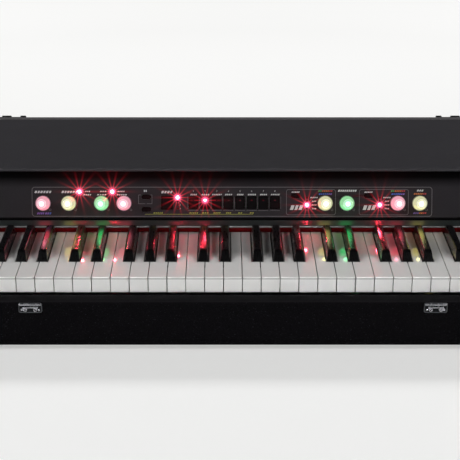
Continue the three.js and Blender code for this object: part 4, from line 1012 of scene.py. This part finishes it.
class PIANO_OT_black_keys(Builder, bpy.types.Operator):
    """Black keys: sloping fronts and sides, rounded crowns, and their tails on the pivot"""

    bl_idname = "piano.build_black_keys"
    bl_label = "Black keys"

    def crown(self, keys):
        """Raised part: a rectangle extruded up, drawn in at its sides and front, and its edges rounded."""
        low, straight, high = -0.4, 0.2, 12.0  # heights over the white keys
        front, rear, slope = 49.5 - SHIFT, 145.0 - SHIFT, 9.3
        half, top_half = 6.7, 4.7
        top_share = 0.52  # of the front edge's rounding
        piece = sheet("crown_master", -half, half, front, rear, KEY_LEVEL + low)
        with Editing(piece):
            raise_faces(straight - low)
            raise_faces(high - straight)
            bpy.ops.transform.resize(
                value=(top_half / half, 1 - slope / (rear - front), 1), center_override=(0, rear * MM, 0))
            face_outwards()

        def weight(edge):
            a, b = (v.co / MM for v in edge.verts)
            at_front = max(a.y, b.y) < front + slope + 1
            if min(a.z, b.z) > KEY_LEVEL + high - 0.1:
                if at_front:
                    return 1.0
                return 0.16 if min(a.y, b.y) > rear - 1 else top_share
            return 0.2 if at_front and abs(a.z - b.z) > 2 else 0.0

        return weighed(piece, keys.crown_round / top_share, weight, 5)

    def tail(self):
        """Body under the white key tops, with the heel that rests on the pivot."""
        z = KEY_LEVEL
        outline = [(49.8, z - 9), (206, z - 9), (206, z - 12), (221, z - 12), (221, z), (49.8, z - 0.05)]
        return softened(drawn("tail_master", outline, 6.4), 0.35)

    def middles(self, indices):
        letters = [(index, (index + FIRST_LETTER) % 7) for index in indices]
        return [
            (index + 1 + BLACK_SHIFTS[letter]) * KEY_PITCH - KEYS_HALF
            for index, letter in letters if letter in BLACK_SHIFTS
        ]

    def build(self, scene):
        keys = scene.piano_keys
        ebony = polished_key(
            "black_key_plastic", keys.ebony, times(keys.ebony, 0.8), 0.2, 0.3, 0.2, 0.0000001)
        crown, tail = self.crown(keys), self.tail()
        for node, indices in BLACK_NODES.items():
            xs = self.middles(indices)
            places = [shift(x) for x in xs]
            made = copies(crown, places) + copies(tail, places)
            if len(xs) > 1:
                low = (xs[0] - 6.4, 192 - SHIFT, KEY_LEVEL - 0.4)
                high = (xs[-1] + 6.4, 203 - SHIFT, KEY_LEVEL + 3.6)
                made.append(softened(block("bar", low, high), 0.4))
            whole = joined(node.replace("black_keys", "ebony_keys").replace("key_", "ebony_key_"), made)
            settled(whole, ebony, node, "ebony", node)
        remove(crown, tail)


class PIANO_OT_rail(Builder, bpy.types.Operator):
    """Rail over the keys and the felt strip under it"""

    bl_idname = "piano.build_rail"
    bl_label = "Rail and felt"

    def satin(self, case):
        """Satin paint on the slope, with a thin painted highlight along the nose, painted shade on the ledge behind,
        and the painted glow of the lit lamps.
        """
        look = Look("satin_rail", Specular_IOR_Level=0.6, Emission_Strength=1.0)
        place = look.place()
        brushed = look.grain(look.place(size=(12, 1, 1)), 0.0007, 3.0)
        broad = look.grain(place, 0.03, 3.0)
        _, deep, high = look.axes(place)
        # painted highlight along the nose of the rail
        nose = look.within(high, 97.0 * MM, 97.5 * MM, 98.7 * MM, 99.1 * MM)
        nose = nose * look.fall(deep, (149.0 - SHIFT) * MM, (149.6 - SHIFT) * MM)
        # painted shade on the ledge behind the slope, by the groove under the panel
        ledge = look.ramp(deep, (158.0 - SHIFT) * MM, (158.3 - SHIFT) * MM)
        base = look.mixed(look.ramp(brushed, 0.2, 0.8), times(case.rail, 0.93), times(case.rail, 1.06))
        base = look.mixed(ledge, base, times(case.rail, 0.12))
        base = look.mixed(nose * look.ramp(broad, 0.3, 0.7, 0.7, 1.0), base, case.rail_nose)
        dull = look.ramp(brushed, 0.0, 1.0, 0.27, 0.34)
        return look.finished(base, dull, brushed, 0.000006, Emission_Color=lamp_glow(look))

    def build(self, scene):
        case = scene.piano_case
        low = KEY_LEVEL + 4.5
        ledge = PANEL_FOOT - 2.5 * sin(PANEL_LEAN) - 0.3
        profile = rounded([
            (172, low), (172, ledge, 0.4), (161.2, ledge, 0.3), (161.2, low + 6.5, 0.4), (158, low + 6.5, 0.4),
            (158, low + 9.5, 0.6), (148, low + 4.8, 2.2), (148, low, 2.2),
        ])
        rail = evened(drawn("key_slip_rail", profile, SPAN_HALF), 32)
        # the faces behind the slope take a nearly black paint, a painted shade in the groove
        dressed(rail, self.satin(case), moulded("groove_paint", shade(11, 10, 11), 0.85, 0.03))
        with Editing(rail) as edit:
            edit.paint(1, lambda face: middle(face).y > (157.9 - SHIFT) * MM and abs(face.normal.x) < 0.5)
        settled(rail, None, "case", "rail", "key_rail")

        felt = drawn("felt_edge", rounded([
            (147.5, 90.7, 0.3), (153.3, 90.7), (153.3, 94.2), (147.95, 94.2), (147.95, 96.5, 0.2), (147.5, 96.5, 0.2),
        ], 3), KEYS_HALF)
        with Editing(felt) as edit:
            edit.choose("edges", lambda line: abs(line.verts[0].co.x - line.verts[1].co.x) > 1 * MM)
            bpy.ops.mesh.subdivide(number_cuts=360)
        with Editing(felt) as edit:
            edit.choose("verts", lambda v: abs(v.co.x) < (KEYS_HALF - 1) * MM and v.co.z < (KEY_LEVEL + 2) * MM)
            bpy.ops.transform.vertex_random(offset=0.0001, uniform=1.0, normal=0.0, seed=7)
        settled(smoothed(felt, 60), felt_cloth(case), "case", "felt", "felt_strip")


class PIANO_OT_hood(Builder, bpy.types.Operator):
    """Flat hood with its rounded nose and the ribs under it"""

    bl_idname = "piano.build_hood"
    bl_label = "Hood"

    def build(self, scene):
        profile = rounded([
            (HOOD_NOSE, HOOD_LOW, 2.49), (HOOD_REAR, HOOD_LOW, 0.5), (HOOD_REAR, HOOD_TOP, 1.6),
            (HOOD_NOSE, HOOD_TOP, 2.49),
        ], 8)
        parts = [evened(drawn("hood_shell", profile, SPAN_HALF), 30)]
        rib_half, rib_foot, rib_width, sunk = 541, 157, 4, 0.4
        for share in (0.36, 0.66):  # of the way back from the nose
            y = HOOD_NOSE + share * (HOOD_REAR - HOOD_NOSE) - SHIFT
            rib = block("rib", (-rib_half, y, rib_foot), (rib_half, y + rib_width, HOOD_LOW + sunk))
            parts.append(softened(rib, 0.6))
        paint = moulded("charcoal_hood", scene.piano_case.hood, 0.62, 0.06, 0.0009, 0.00004)
        settled(joined("hood_shell", parts), paint, "case", "hood", "hood")


class PIANO_OT_panel(Builder, bpy.types.Operator):
    """Leaning control panel with its print"""

    bl_idname = "piano.build_panel"
    bl_label = "Panel and print"

    def pale_bars(self):
        """Printed bars beside the controls."""
        bars = list(PALE_BARS)
        for left in EFFECT_BOXES:
            bars += [(left + 12.2, 34.3, 11, 1.8, 5), (left + 12.8, 13.4, 17.5, 6.2, 3)]
            for up, width, parts in zip(LENS_ROWS, (10.5, 6, 7, 6), (4, 3, 3, 3)):
                bars.append((left + 37.2, up, width, 1.6, parts))
        for x, width, parts in zip(BUTTON_XS, (9, 10.5, 13.5, 10, 9, 11, 9.5, 12), (4, 4, 6, 4, 4, 5, 4, 5)):
            bars.append((x, 31.0, width, 1.9, parts))
        bars.append((-116.9, 36.0, 4.6, 2.6, 2, 0))
        return [part for bar in bars for part in broken_bar(*bar)]

    def grey_lines(self):
        """Lines between and under the buttons, and the brackets round the mode buttons."""
        lines = [(x - BUTTON_PITCH / 2, 20.0, 0.4, 16.6, 0) for x in (*BUTTON_XS, BUTTON_XS[-1] + BUTTON_PITCH)]
        lines += [(x, 9.6, 13.6, 0.45, 0) for x in BUTTON_XS]
        for side, inward in ((-126.1, 1.6), (-108.0, -1.6)):
            lines += [(side, 24.6, 0.5, 11.8, 0), (side + inward, 30.5, 3.2, 0.5, 0)]
        return lines + [(-121.6, 18.7, 9, 0.5, 0), (-111.5, 18.7, 7, 0.5, 0)]

    def print_frames(self, middles, thick):
        """Outline of the field, boxes round the effect sections, and a mark beside each knob."""
        frames = [frame_strip("field", *FIELD, 4.2, 0.62, thick)]
        for left in EFFECT_BOXES:
            frames.append(frame_strip("box", left, left + 66.7, 3.4, 38.0, 3.0, 0.48, thick))
        for x, up in middles.values():
            mark = disc("mark", 16, x + 9.4, up - 9.1, 1.5)
            with Editing(mark):
                hollow_out(0.4, thick)
            frames.append(mark)
        return frames

    def build(self, scene):
        panel = scene.piano_panel
        thick = panel.print_thick / MM
        hood_shade = 159.0  # height from which the hood's shadow is painted on the panel
        paint = moulded("charcoal_paint", panel.paint, 0.5, 0.07, 0.0007, lamps=True, hood_shadow_above=hood_shade)
        settled(smoothed(skin_of("control_panel", "panel_plate"), 25), paint, "case", "panel", "control_panel")

        numbers = [numeral(n + 1, x, 35.6, 3.0, thick) for n, x in enumerate(BUTTON_XS)]
        numbers += [numeral(n + 1, -69.9, up, 2.4, thick) for n, up in enumerate(LENS_ROWS)]
        middles = {name: panel_box(name)[:2] for name in KNOBS}
        yellow = [(-44.6, 4.4, 145.8, 0.55, 0)]
        for x, width in YELLOW_BARS:
            yellow += broken_bar(x, 6.2, width, 1.7, max(2, round(width / 2.6)))
        prints = {
            "pale": (panel.print_white, [tiles("bars", self.pale_bars(), thick), *numbers]),
            "grey": (panel.print_grey, [*self.print_frames(middles, thick), tiles("lines", self.grey_lines(), thick)]),
            "yellow": (panel.print_yellow, [tiles("bars", yellow, thick)]),
        }
        coloured = {ink: [] for ink in INKS}
        for knob, aside, up, width, height, parts, inks in COLOUR_BARS:
            inks = inks.split()
            for i, bar in enumerate(broken_bar(middles[knob][0] + aside, up, width, height, parts)):
                coloured[inks[i * len(inks) // parts]].append(bar)
        for ink, bars in coloured.items():
            prints[ink] = (shade(*INKS[ink]), [tiles("bars", bars, thick)])
        for ink, (tone, parts) in prints.items():
            piece = moved(joined(f"{ink}_print", parts), PANEL_PLACE)
            settled(piece, printed(f"{ink}_ink", tone), "case", "panel")


class PIANO_OT_knobs(Builder, bpy.types.Operator):
    """Translucent knobs with ring grooves, a dished top and a lamp spot"""

    bl_idname = "piano.build_knobs"
    bl_label = "Knobs"

    def build(self, scene):
        master = turned("knob_master", [
            (0, -5.7), (2.8, -5.7), (3, -5.5), (3, 0.5), (9.9, 0.5), (10.3, 0.7), (KNOB_RADIUS, 1.1),
            (KNOB_RADIUS, 2.0), (10.2, 2.35), (9.75, 2.5), (9.55, 2.9), (9.4, 3.6), (9.1, 3.7), (9.05, 4.4),
            (9.3, 4.6), (9.0, 6.0), (8.7, 6.1), (8.65, 6.8), (8.85, 7.0), (8.3, 9.6), (7.8, 12), (7.35, 14.4),
            (7.15, 15.4), (6.85, 16.1), (6.4, 16.5), (5.9, 16.6), (5.4, 16.45), (5.0, 16.1), (4.5, 15.95),
            (3.9, 16.0), (3.5, 16.25), (2.6, 16.5), (1.4, 16.65), (0, 16.7),
        ], 48, 32)
        for node, hue in KNOBS.items():
            place = PANEL_PLACE @ shift(*panel_box(node)[:2])
            resin = lit_resin(f"lit_resin_{node[5:]}", hue, scene.piano_panel.knob_glow, place.translation)
            settled(copy_of(master, "lit_" + node, place), resin, node, f"knob_{hue}", node)
        remove(master)


class PIANO_OT_buttons(Builder, bpy.types.Operator):
    """Push buttons with dished faces, and a lamp window in each program button"""

    bl_idname = "piano.build_buttons"
    bl_label = "Buttons"

    def cap(self, width, height):
        """Rounded plate with a bevelled edge, a dished face and a stem. A long one has round ends."""
        corner = height * 0.495 if width / height > 1.5 else 0.7
        piece = pad("cap", width, height, -4, 2.0, corner, 6, 0.45, ((1.0, 2.0), (1.6, 1.82), (2.4, 1.74)))
        stem = turned("stem", [(0, -8), (1.3, -8), (1.6, -7.7), (1.6, -3.8), (0, -3.8)], 16)
        return smoothed(joined("cap", [piece, stem]))

    def build(self, scene):
        panel = scene.piano_panel
        # the caps carry the painted glow of the lit lamps
        black = moulded("satin_button", panel.button, 0.62, 0.05, 0.0005, 0.00001, lamps=True)
        dim = glowing("dim_window", (0.035, 0.001, 0.003), 1.0, shade(40, 3, 8))
        lit = glowing("lit_window", LAMP_RED, panel.lens_glow, shade(255, 90, 110))
        for node in sorted(name for name in NODES if "button" in name):
            x, up, width, height = panel_box(node)
            cap = dressed(self.cap(width, height), black)
            if node.startswith("program"):
                window = moved(pad("window", 2.5, 1.7, 1.6, 1.98, 0.5, 3, 0.12), shift(0, 3.3))
                dressed(window, lit if node.endswith("_2") else dim)
                cap = joined("cap", [cap, window])
            moved(cap, PANEL_PLACE @ shift(x, up))
            cap.name = node.replace("button", "cap")
            settled(cap, None, node, "button", node)


class PIANO_OT_lenses(Builder, bpy.types.Operator):
    """Indicator lenses: domes on the moulding that joins them behind the panel"""

    bl_idname = "piano.build_lenses"
    bl_label = "Indicator lenses"

    def build(self, scene):
        dome = turned("dome_master", [
            (0, -4.5), (1.5, -4.5), (1.5, 0.15), (1.42, 0.42), (1.15, 0.68), (0.75, 0.86), (0.35, 0.94), (0, 0.96),
        ], 24, 60)
        row, bottom, wide = LENS_SINGLES[0][1], LENS_ROWS[-1], 1.5
        bars = [((LENS_SINGLES[0][0], row), (LENS_COLUMNS[-1], row))]
        bars += [((x, bottom), (x, row - wide)) for x in LENS_COLUMNS]
        guide = [
            softened(block("guide", (left - wide, low - wide, -6), (right + wide, high + wide, -4)), 0.2)
            for (left, low), (right, high) in bars
        ]
        dark = [(x, up) for x in LENS_COLUMNS for up in LENS_ROWS if (x, up) not in LIT_LENSES]
        unlit = joined("unlit_lenses", guide + copies(dome, [shift(*place) for place in dark]))
        lit = joined("lit_lenses", copies(dome, [shift(*place) for place in LIT_LENSES]))
        remove(dome)
        dim = glowing("unlit_lens", (0.05, 0.002, 0.004), 1.0, shade(64, 6, 12))
        bright = glowing("lit_lens", LAMP_RED, scene.piano_panel.lens_glow, shade(255, 90, 110))
        settled(moved(unlit, PANEL_PLACE), dim, "case", "lens", "indicator_lenses")
        settled(moved(lit, PANEL_PLACE), bright, "case", "lens", "indicator_lenses")


class PIANO_OT_catches(Builder, bpy.types.Operator):
    """Catch plates on the front wall: rimmed plate, top bar, and a hook whose ends curl into eyes"""

    bl_idname = "piano.build_catches"
    bl_label = "Catches"

    def build(self, scene):
        nickel = metal("worn_nickel", shade(214, 214, 220), 0.24, tarnish=0.3)
        # painted dark reflection: the plate is a darker copy of the nickel than its raised parts
        rim = metal("dull_nickel", shade(104, 106, 110), 0.34)
        # painted shade: the sunk field of the plate, nearly black
        field_shade = metal("dark_nickel", shade(36, 37, 39), 0.4)
        for side in ("left", "right"):
            low, high = (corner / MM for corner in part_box(f"catch_plate_{side}"))
            width, height = high.x - low.x, high.z - low.z
            half = height / 2
            plate = pad("plate", width, height, 0, 1.0, 2.6, 5, 0.25, ((0.9, 1.0), (1.15, 0.45)))
            eye = turned("eye", [
                (1.15, 0.5), (2.45, 0.5), (2.6, 0.8), (2.6, 2.7), (2.3, 3.1), (1.5, 3.1), (1.15, 2.7), (1.15, 0.5),
            ], 28)
            post = turned("post", [(0, 0.4), (0.8, 0.4), (0.8, 1.4), (0.5, 1.7), (0, 1.75)], 20)
            rivet = turned("rivet", [(0, 0.4), (1.7, 0.4), (1.6, 0.9), (1.1, 1.45), (0, 1.65)], 24, 60)
            eyes = [shift(s * 6.3, half - 8.8) for s in (-1, 1)]
            parts = [
                moved(pad("bar", width - 1.6, 2.5, 0.4, 3.0, 0.9, 4, 0.5), shift(0, half - 1.9)),
                moved(pad("hook", 18.6, 1.9, 0.4, 3.3, 0.7, 4, 0.4), shift(0, half - 5.6)),
                *copies(eye, eyes),
                *copies(post, eyes),
                *copies(rivet, [shift(s * (width / 2 - 3.9), half - 9.6) for s in (-1, 1)]),
            ]
            remove(eye, post, rivet)
            for s in (-1, 1):
                link = pad("link", 1.4, 3.4, 0.4, 3.0, 0.5, 3, 0.3)
                parts.append(moved(link, shift(s * 8.6, half - 6.9) @ turn(radians(-20 * s), "Z")))
            dressed(plate, rim, field_shade)
            # the sunk field takes the painted shade
            with Editing(plate) as edit:
                edit.paint(1, lambda f: f.normal.z > 0.9 and abs(middle(f).z - 0.45 * MM) < 0.1 * MM)
            for part in parts:
                dressed(part, nickel)
            catch = joined(f"nickel_catch_{side}", [plate, *parts])
            place = shift((low.x + high.x) / 2, FRONT_WALL - SHIFT, (low.z + high.z) / 2) @ FACING_FRONT
            settled(smoothed(moved(catch, place)), None, "case", "fitting_metal", f"catch_plate_{side}")


class PIANO_OT_hinges(Builder, bpy.types.Operator):
    """Hinge halves on the rear wall: leaf, knuckles, pin and crossed screws"""

    bl_idname = "piano.build_hinges"
    bl_label = "Hinges"

    def build(self, scene):
        nickel = metal("hinge_nickel", shade(150, 150, 154), 0.32)
        for side in ("left", "right"):
            low, high = (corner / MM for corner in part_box(f"rear_hinge_{side}"))
            x, pin_y, pin_z = (low.x + high.x) / 2, high.y - 4, high.z - 4
            screw = turned("screw", [(0, 1.6), (3.6, 1.6), (3.6, 2.2), (3.2, 2.6), (2.2, 2.85), (0, 2.9)], 28)
            crossed(screw, 4.6, 0.8, 2.5, 3.2)
            screws = copies(screw, [shift(s * 21.6) for s in (-1, 1)])
            remove(screw)
            leaf = joined("leaf", [pad("leaf", 57.6, 30, 0, 2, 2.5, 4, 0.35), *screws])
            parts = [moved(leaf, shift(x, low.y, pin_z - 15) @ FACING_REAR)]
            along = shift(x, pin_y, pin_z) @ turn(radians(90), "Y")
            for start, end in ((-28.8, -20.5), (-7, 7), (20.5, 28.8)):
                parts.append(moved(turned("knuckle", [
                    (0, start), (3.4, start), (3.9, start + 0.4), (4, start + 0.9), (4, end - 0.9), (3.9, end - 0.4),
                    (3.4, end), (0, end),
                ]), along))
            pin = turned("pin", [(0, -28.4), (1.6, -28.4), (2, -28), (2, 28), (1.6, 28.4), (0, 28.4)], 24)
            hinge = smoothed(joined(f"nickel_hinge_{side}", [*parts, moved(pin, along)]))
            settled(hinge, nickel, "case", "fitting_metal", f"rear_hinge_{side}")


class PIANO_OT_connectors(Builder, bpy.types.Operator):
    """Connector plate with its nuts, sockets, screws and the power rocker"""

    bl_idname = "piano.build_connectors"
    bl_label = "Connectors"

    def plate(self):
        """Plate with a hole for each socket and for the rocker."""
        hole = turned("hole", [(0, -4), (3.3, -4), (3.3, 2), (0, 2)], 32, 10)
        holes = copies(hole, [shift(-x) for x in JACK_XS])
        remove(hole)
        wide_hole = turned("hole", [(0, -4), (7.2, -4), (7.2, 2), (0, 2)], 40, 10)
        holes.append(moved(wide_hole, shift(-ROUND_X)))
        for x, width, height, corner in ((DATA_X, 9, 8, 0.6), (ROCKER_X, 19, 14, 0.8), (INLET_X, 24, 16, 2.5)):
            holes.append(moved(pad("hole", width, height, -4, 2, corner, 4), shift(-x)))
        return smoothed(cut(pad("rear_plate", 250, 44, -2, 0, 3, 5, 0.4), joined("cutter", holes)), 30)

    def jack_rings(self):
        """Nut, threaded bush and washer of each jack."""
        nut = disc("nut", 6, 0, 0, 6.5)
        with Editing(nut):
            raise_faces(1.8)
            raise_faces(0.4)
            bpy.ops.transform.resize(value=(0.93, 0.93, 1), center_override=(0, 0, 0))
            face_outwards()
        cut(nut, turned("bore", [(0, -1), (3.35, -1), (3.35, 4), (0, 4)], 32, 10))
        bush = turned("bush", [
            (3.3, -1.9), (4.4, -1.9), (4.4, 2.4), (4.15, 2.55), (4.4, 2.7), (4.15, 2.9), (4.3, 3.05), (3.9, 3.15),
            (3.3, 3.15), (3.3, -1.9),
        ], 32, 40)
        washer = turned("washer", [(3.3, 0), (7.4, 0), (7.5, 0.25), (7.3, 0.45), (3.3, 0.45), (3.3, 0)], 36)
        jack = joined("jack_ring", [nut, bush, washer])
        rings = copies(jack, [shift(-x) for x in JACK_XS])
        remove(jack)
        return joined("jack_rings", rings)

    def insides(self):
        """Plastic insides of the round, data and mains sockets, and their contacts."""
        cup = turned("cup", [(0, -7.6), (6.9, -7.6), (7.1, -7.4), (7.1, -0.6), (6.6, -0.4), (6.5, -5), (0, -5)], 40)
        key = moved(pad("key", 1.6, 1.4, -5.2, -1.2, 0.3, 2), shift(0, 6.2))
        tongue = pad("tongue", 5.2, 2.6, -12.5, -2, 0.3, 2, 0.3)
        shelf = pad("shelf", 22.4, 14.2, -13.6, -12.4, 2, 4)
        plastic = [
            moved(joined("cup", [cup, key]), shift(-ROUND_X)), moved(tongue, shift(-DATA_X)),
            moved(shelf, shift(-INLET_X)),
        ]
        pin = turned("pin", [(0, -5.2), (0.75, -5.2), (0.75, -1.8), (0.5, -1.4), (0, -1.3)], 16, 50)
        arc = [radians(angle) for angle in (0, 45, 90, 135, 180)]
        contacts = copies(pin, [shift(4.6 * cos(a) - ROUND_X, -4.6 * sin(a)) for a in arc])
        remove(pin)
        for x, y in ((0, 1.6), (-6.6, -1.2), (6.6, -1.2)):
            contacts.append(moved(pad("blade", 1.6, 4.6, -12.5, -2.6, 0.4, 2, 0.3), shift(x - INLET_X, y)))
        return smoothed(joined("socket_insides", plastic)), joined("contact_pins", contacts)

    def screws(self):
        screw = turned("plate_screw", [(0, 0), (2.6, 0), (2.6, 0.4), (2.2, 0.9), (1.3, 1.2), (0, 1.25)], 28, 50)
        crossed(screw, 3.2, 0.6, 0.9, 1.6)
        corners = [(sx * 119.5, sy * 16.5) for sx in (-1, 1) for sy in (-1, 1)]
        heads = copies(screw, [shift(*p) for p in (*corners, (-89.8, 17), (-89.8, -17), (0, 17), (0, -17))])
        remove(screw)
        return joined("plate_screws", heads)

    def build(self, scene):
        bright = metal("bright_nickel", shade(190, 190, 194), 0.2)
        coat = moulded("powder_coat", shade(26, 26, 28), 0.48, 0.35, 0.0008, 0.00005)
        black = moulded("socket_plastic", shade(16, 16, 17), 0.4, 0.4)
        plate = self.plate()
        rings = self.jack_rings()
        insides, contacts = self.insides()
        marks = [part for x in (*JACK_XS, ROUND_X, DATA_X) for part in broken_bar(-x, 13.2, 12, 1.8, 5)]
        marks += [(-(x + 15), 0, 0.4, 20, 0) for x in JACK_XS[:3]]
        for piece, material, slot, *nodes in (
            (plate, coat, "connector_metal", "connector_plate"),
            (rings, bright, "fitting_metal", "connector_plate"),
            (insides, black, "connector_metal"),
            (contacts, metal("contact_brass", shade(196, 168, 104), 0.3), "connector_metal"),
            (self.screws(), bright, "fitting_metal"),
            (tiles("rear_print", marks, 0.06), printed("rear_ink", shade(190, 190, 188)), "connector_metal"),
        ):
            settled(moved(piece, REAR_PLATE), material, "case", slot, *nodes)

        rocker = softened(skin_of("power_rocker", "rocker_cap"), 0.5, 3, 25)
        satin = moulded("rocker_black", shade(20, 20, 21), 0.3, 0.45)
        settled(rocker, satin, "power_rocker", "button", "power_rocker")


class PIANO_OT_studio(Builder, bpy.types.Operator):
    """Pale floor, soft lights and the camera"""

    bl_idname = "piano.set_studio"
    bl_label = "Studio"

    target = Vector((0, -0.1, 0.12))  # where the lights point: the keys
    backdrop = (0.8, 0.8, 0.795)

    def soft_light(self, name, azimuth, elevation, distance, size, power, mirrored=True, spread=180):
        """A soft light, placed by degrees from the front and from the floor, as seen from the keys."""
        level = cos(radians(elevation)) * distance
        aside = Vector((level * sin(radians(azimuth)), -level * cos(radians(azimuth)), 0))
        place = self.target + aside + Vector((0, 0, sin(radians(elevation)) * distance))
        let_go()
        bpy.ops.object.light_add(type="AREA", location=place)
        aim = (self.target - place).to_track_quat("-Z", "Y").to_euler()
        lamp = given(bpy.context.object, name=name, visible_camera=False, visible_glossy=mirrored, rotation_euler=aim)
        given(lamp.data, shape="RECTANGLE", size=size[0], size_y=size[1], energy=power, spread=radians(spread))

    def floor(self, studio):
        """Pale paper that keeps the piano's shadow and stays pale where the lights no longer reach."""
        let_go()
        bpy.ops.mesh.primitive_plane_add(size=60, location=(0, 0, 0))
        floor = named("studio_floor")
        paper = Look("pale_paper", Specular_IOR_Level=0.1, Emission_Strength=1.0)
        rays = [paper.out("LightPath", output=f"Is {kind} Ray") for kind in ("Camera", "Transmission")]
        tooth = paper.grain(paper.place(), 0.004)
        far = paper.ramp(paper.vector_maths("LENGTH", paper.place(), output=1), 1.5, 3.1, 0.86, 1.44)
        base = paper.mixed(paper.ramp(tooth, 0.3, 0.7), studio.floor, times(studio.floor, 0.985))
        light = paper.scaled((0.56, 0.56, 0.555), paper.maths("MAXIMUM", *rays) * far)
        dressed(floor, paper.finished(base, 0.9, Emission_Color=light))

    def build(self, scene):
        studio = scene.piano_studio
        self.floor(studio)
        scene.world = bpy.data.worlds.new("studio_air")
        scene.world.use_nodes = True
        air = Nodes(scene.world.node_tree)
        tone = air.mixed(air.out("LightPath", output="Is Camera Ray"), [studio.air] * 3, self.backdrop)
        glow = air.out("Background", None, {"Color": tone, "Strength": 1.0})
        air.node("OutputWorld", None, {"Surface": glow})

        for side, name in ((-1, "left"), (1, "right")):
            self.soft_light(f"{name}_soft", side * 55, 33, 2.4, (1.2, 0.5), studio.side_light)
            self.soft_light(f"{name}_rear", side * 150, 36.5, 2.6, (0.4, 0.4), studio.rear_light, False)
        self.soft_light("low_soft", 0, 1, 2.8, (1.8, 0.26), studio.low_light, True, 40)

        let_go()
        level, looking_down = radians(90), radians(22)
        bpy.ops.object.camera_add(location=(-0.0142, -1.67615, 0.7558), rotation=(level - looking_down, 0, 0))
        scene.camera = given(bpy.context.object, name="photo_camera")
        given(scene.camera.data, lens=studio.lens, sensor_width=36, shift_x=0.0185, shift_y=-0.0022, clip_start=0.05,
              clip_end=200)
        scene.view_settings.view_transform = "Standard"


class PIANO_PT_panel(bpy.types.Panel):
    """Steps that build the piano, in order"""

    bl_label = "Electric Piano"
    bl_idname = "PIANO_PT_panel"
    bl_space_type = "VIEW_3D"
    bl_region_type = "UI"
    bl_category = "Piano"

    def draw(self, context):
        for name, group in SETTINGS.items():
            box = self.layout.box()
            for key in group.__annotations__:
                box.prop(getattr(context.scene, name), key)
        for step in STEPS:
            self.layout.operator(step.bl_idname)


STEPS = (
    PIANO_OT_studio,
    PIANO_OT_case,
    PIANO_OT_feet,
    PIANO_OT_inside,
    PIANO_OT_white_keys,
    PIANO_OT_black_keys,
    PIANO_OT_rail,
    PIANO_OT_hood,
    PIANO_OT_panel,
    PIANO_OT_knobs,
    PIANO_OT_buttons,
    PIANO_OT_lenses,
    PIANO_OT_catches,
    PIANO_OT_hinges,
    PIANO_OT_connectors,
)


def register():
    for name, group in SETTINGS.items():
        bpy.utils.register_class(group)
        setattr(bpy.types.Scene, name, bpy.props.PointerProperty(type=group))
    for step in (*STEPS, PIANO_PT_panel):
        bpy.utils.register_class(step)


def unregister():
    for step in (PIANO_PT_panel, *reversed(STEPS)):
        bpy.utils.unregister_class(step)
    for name, group in reversed(list(SETTINGS.items())):
        delattr(bpy.types.Scene, name)
        bpy.utils.unregister_class(group)


def main():
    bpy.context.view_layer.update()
    register()
    for step in STEPS:
        group, operator = step.bl_idname.split(".")
        getattr(getattr(bpy.ops, group), operator)()


if __name__ == "__main__":
    main()
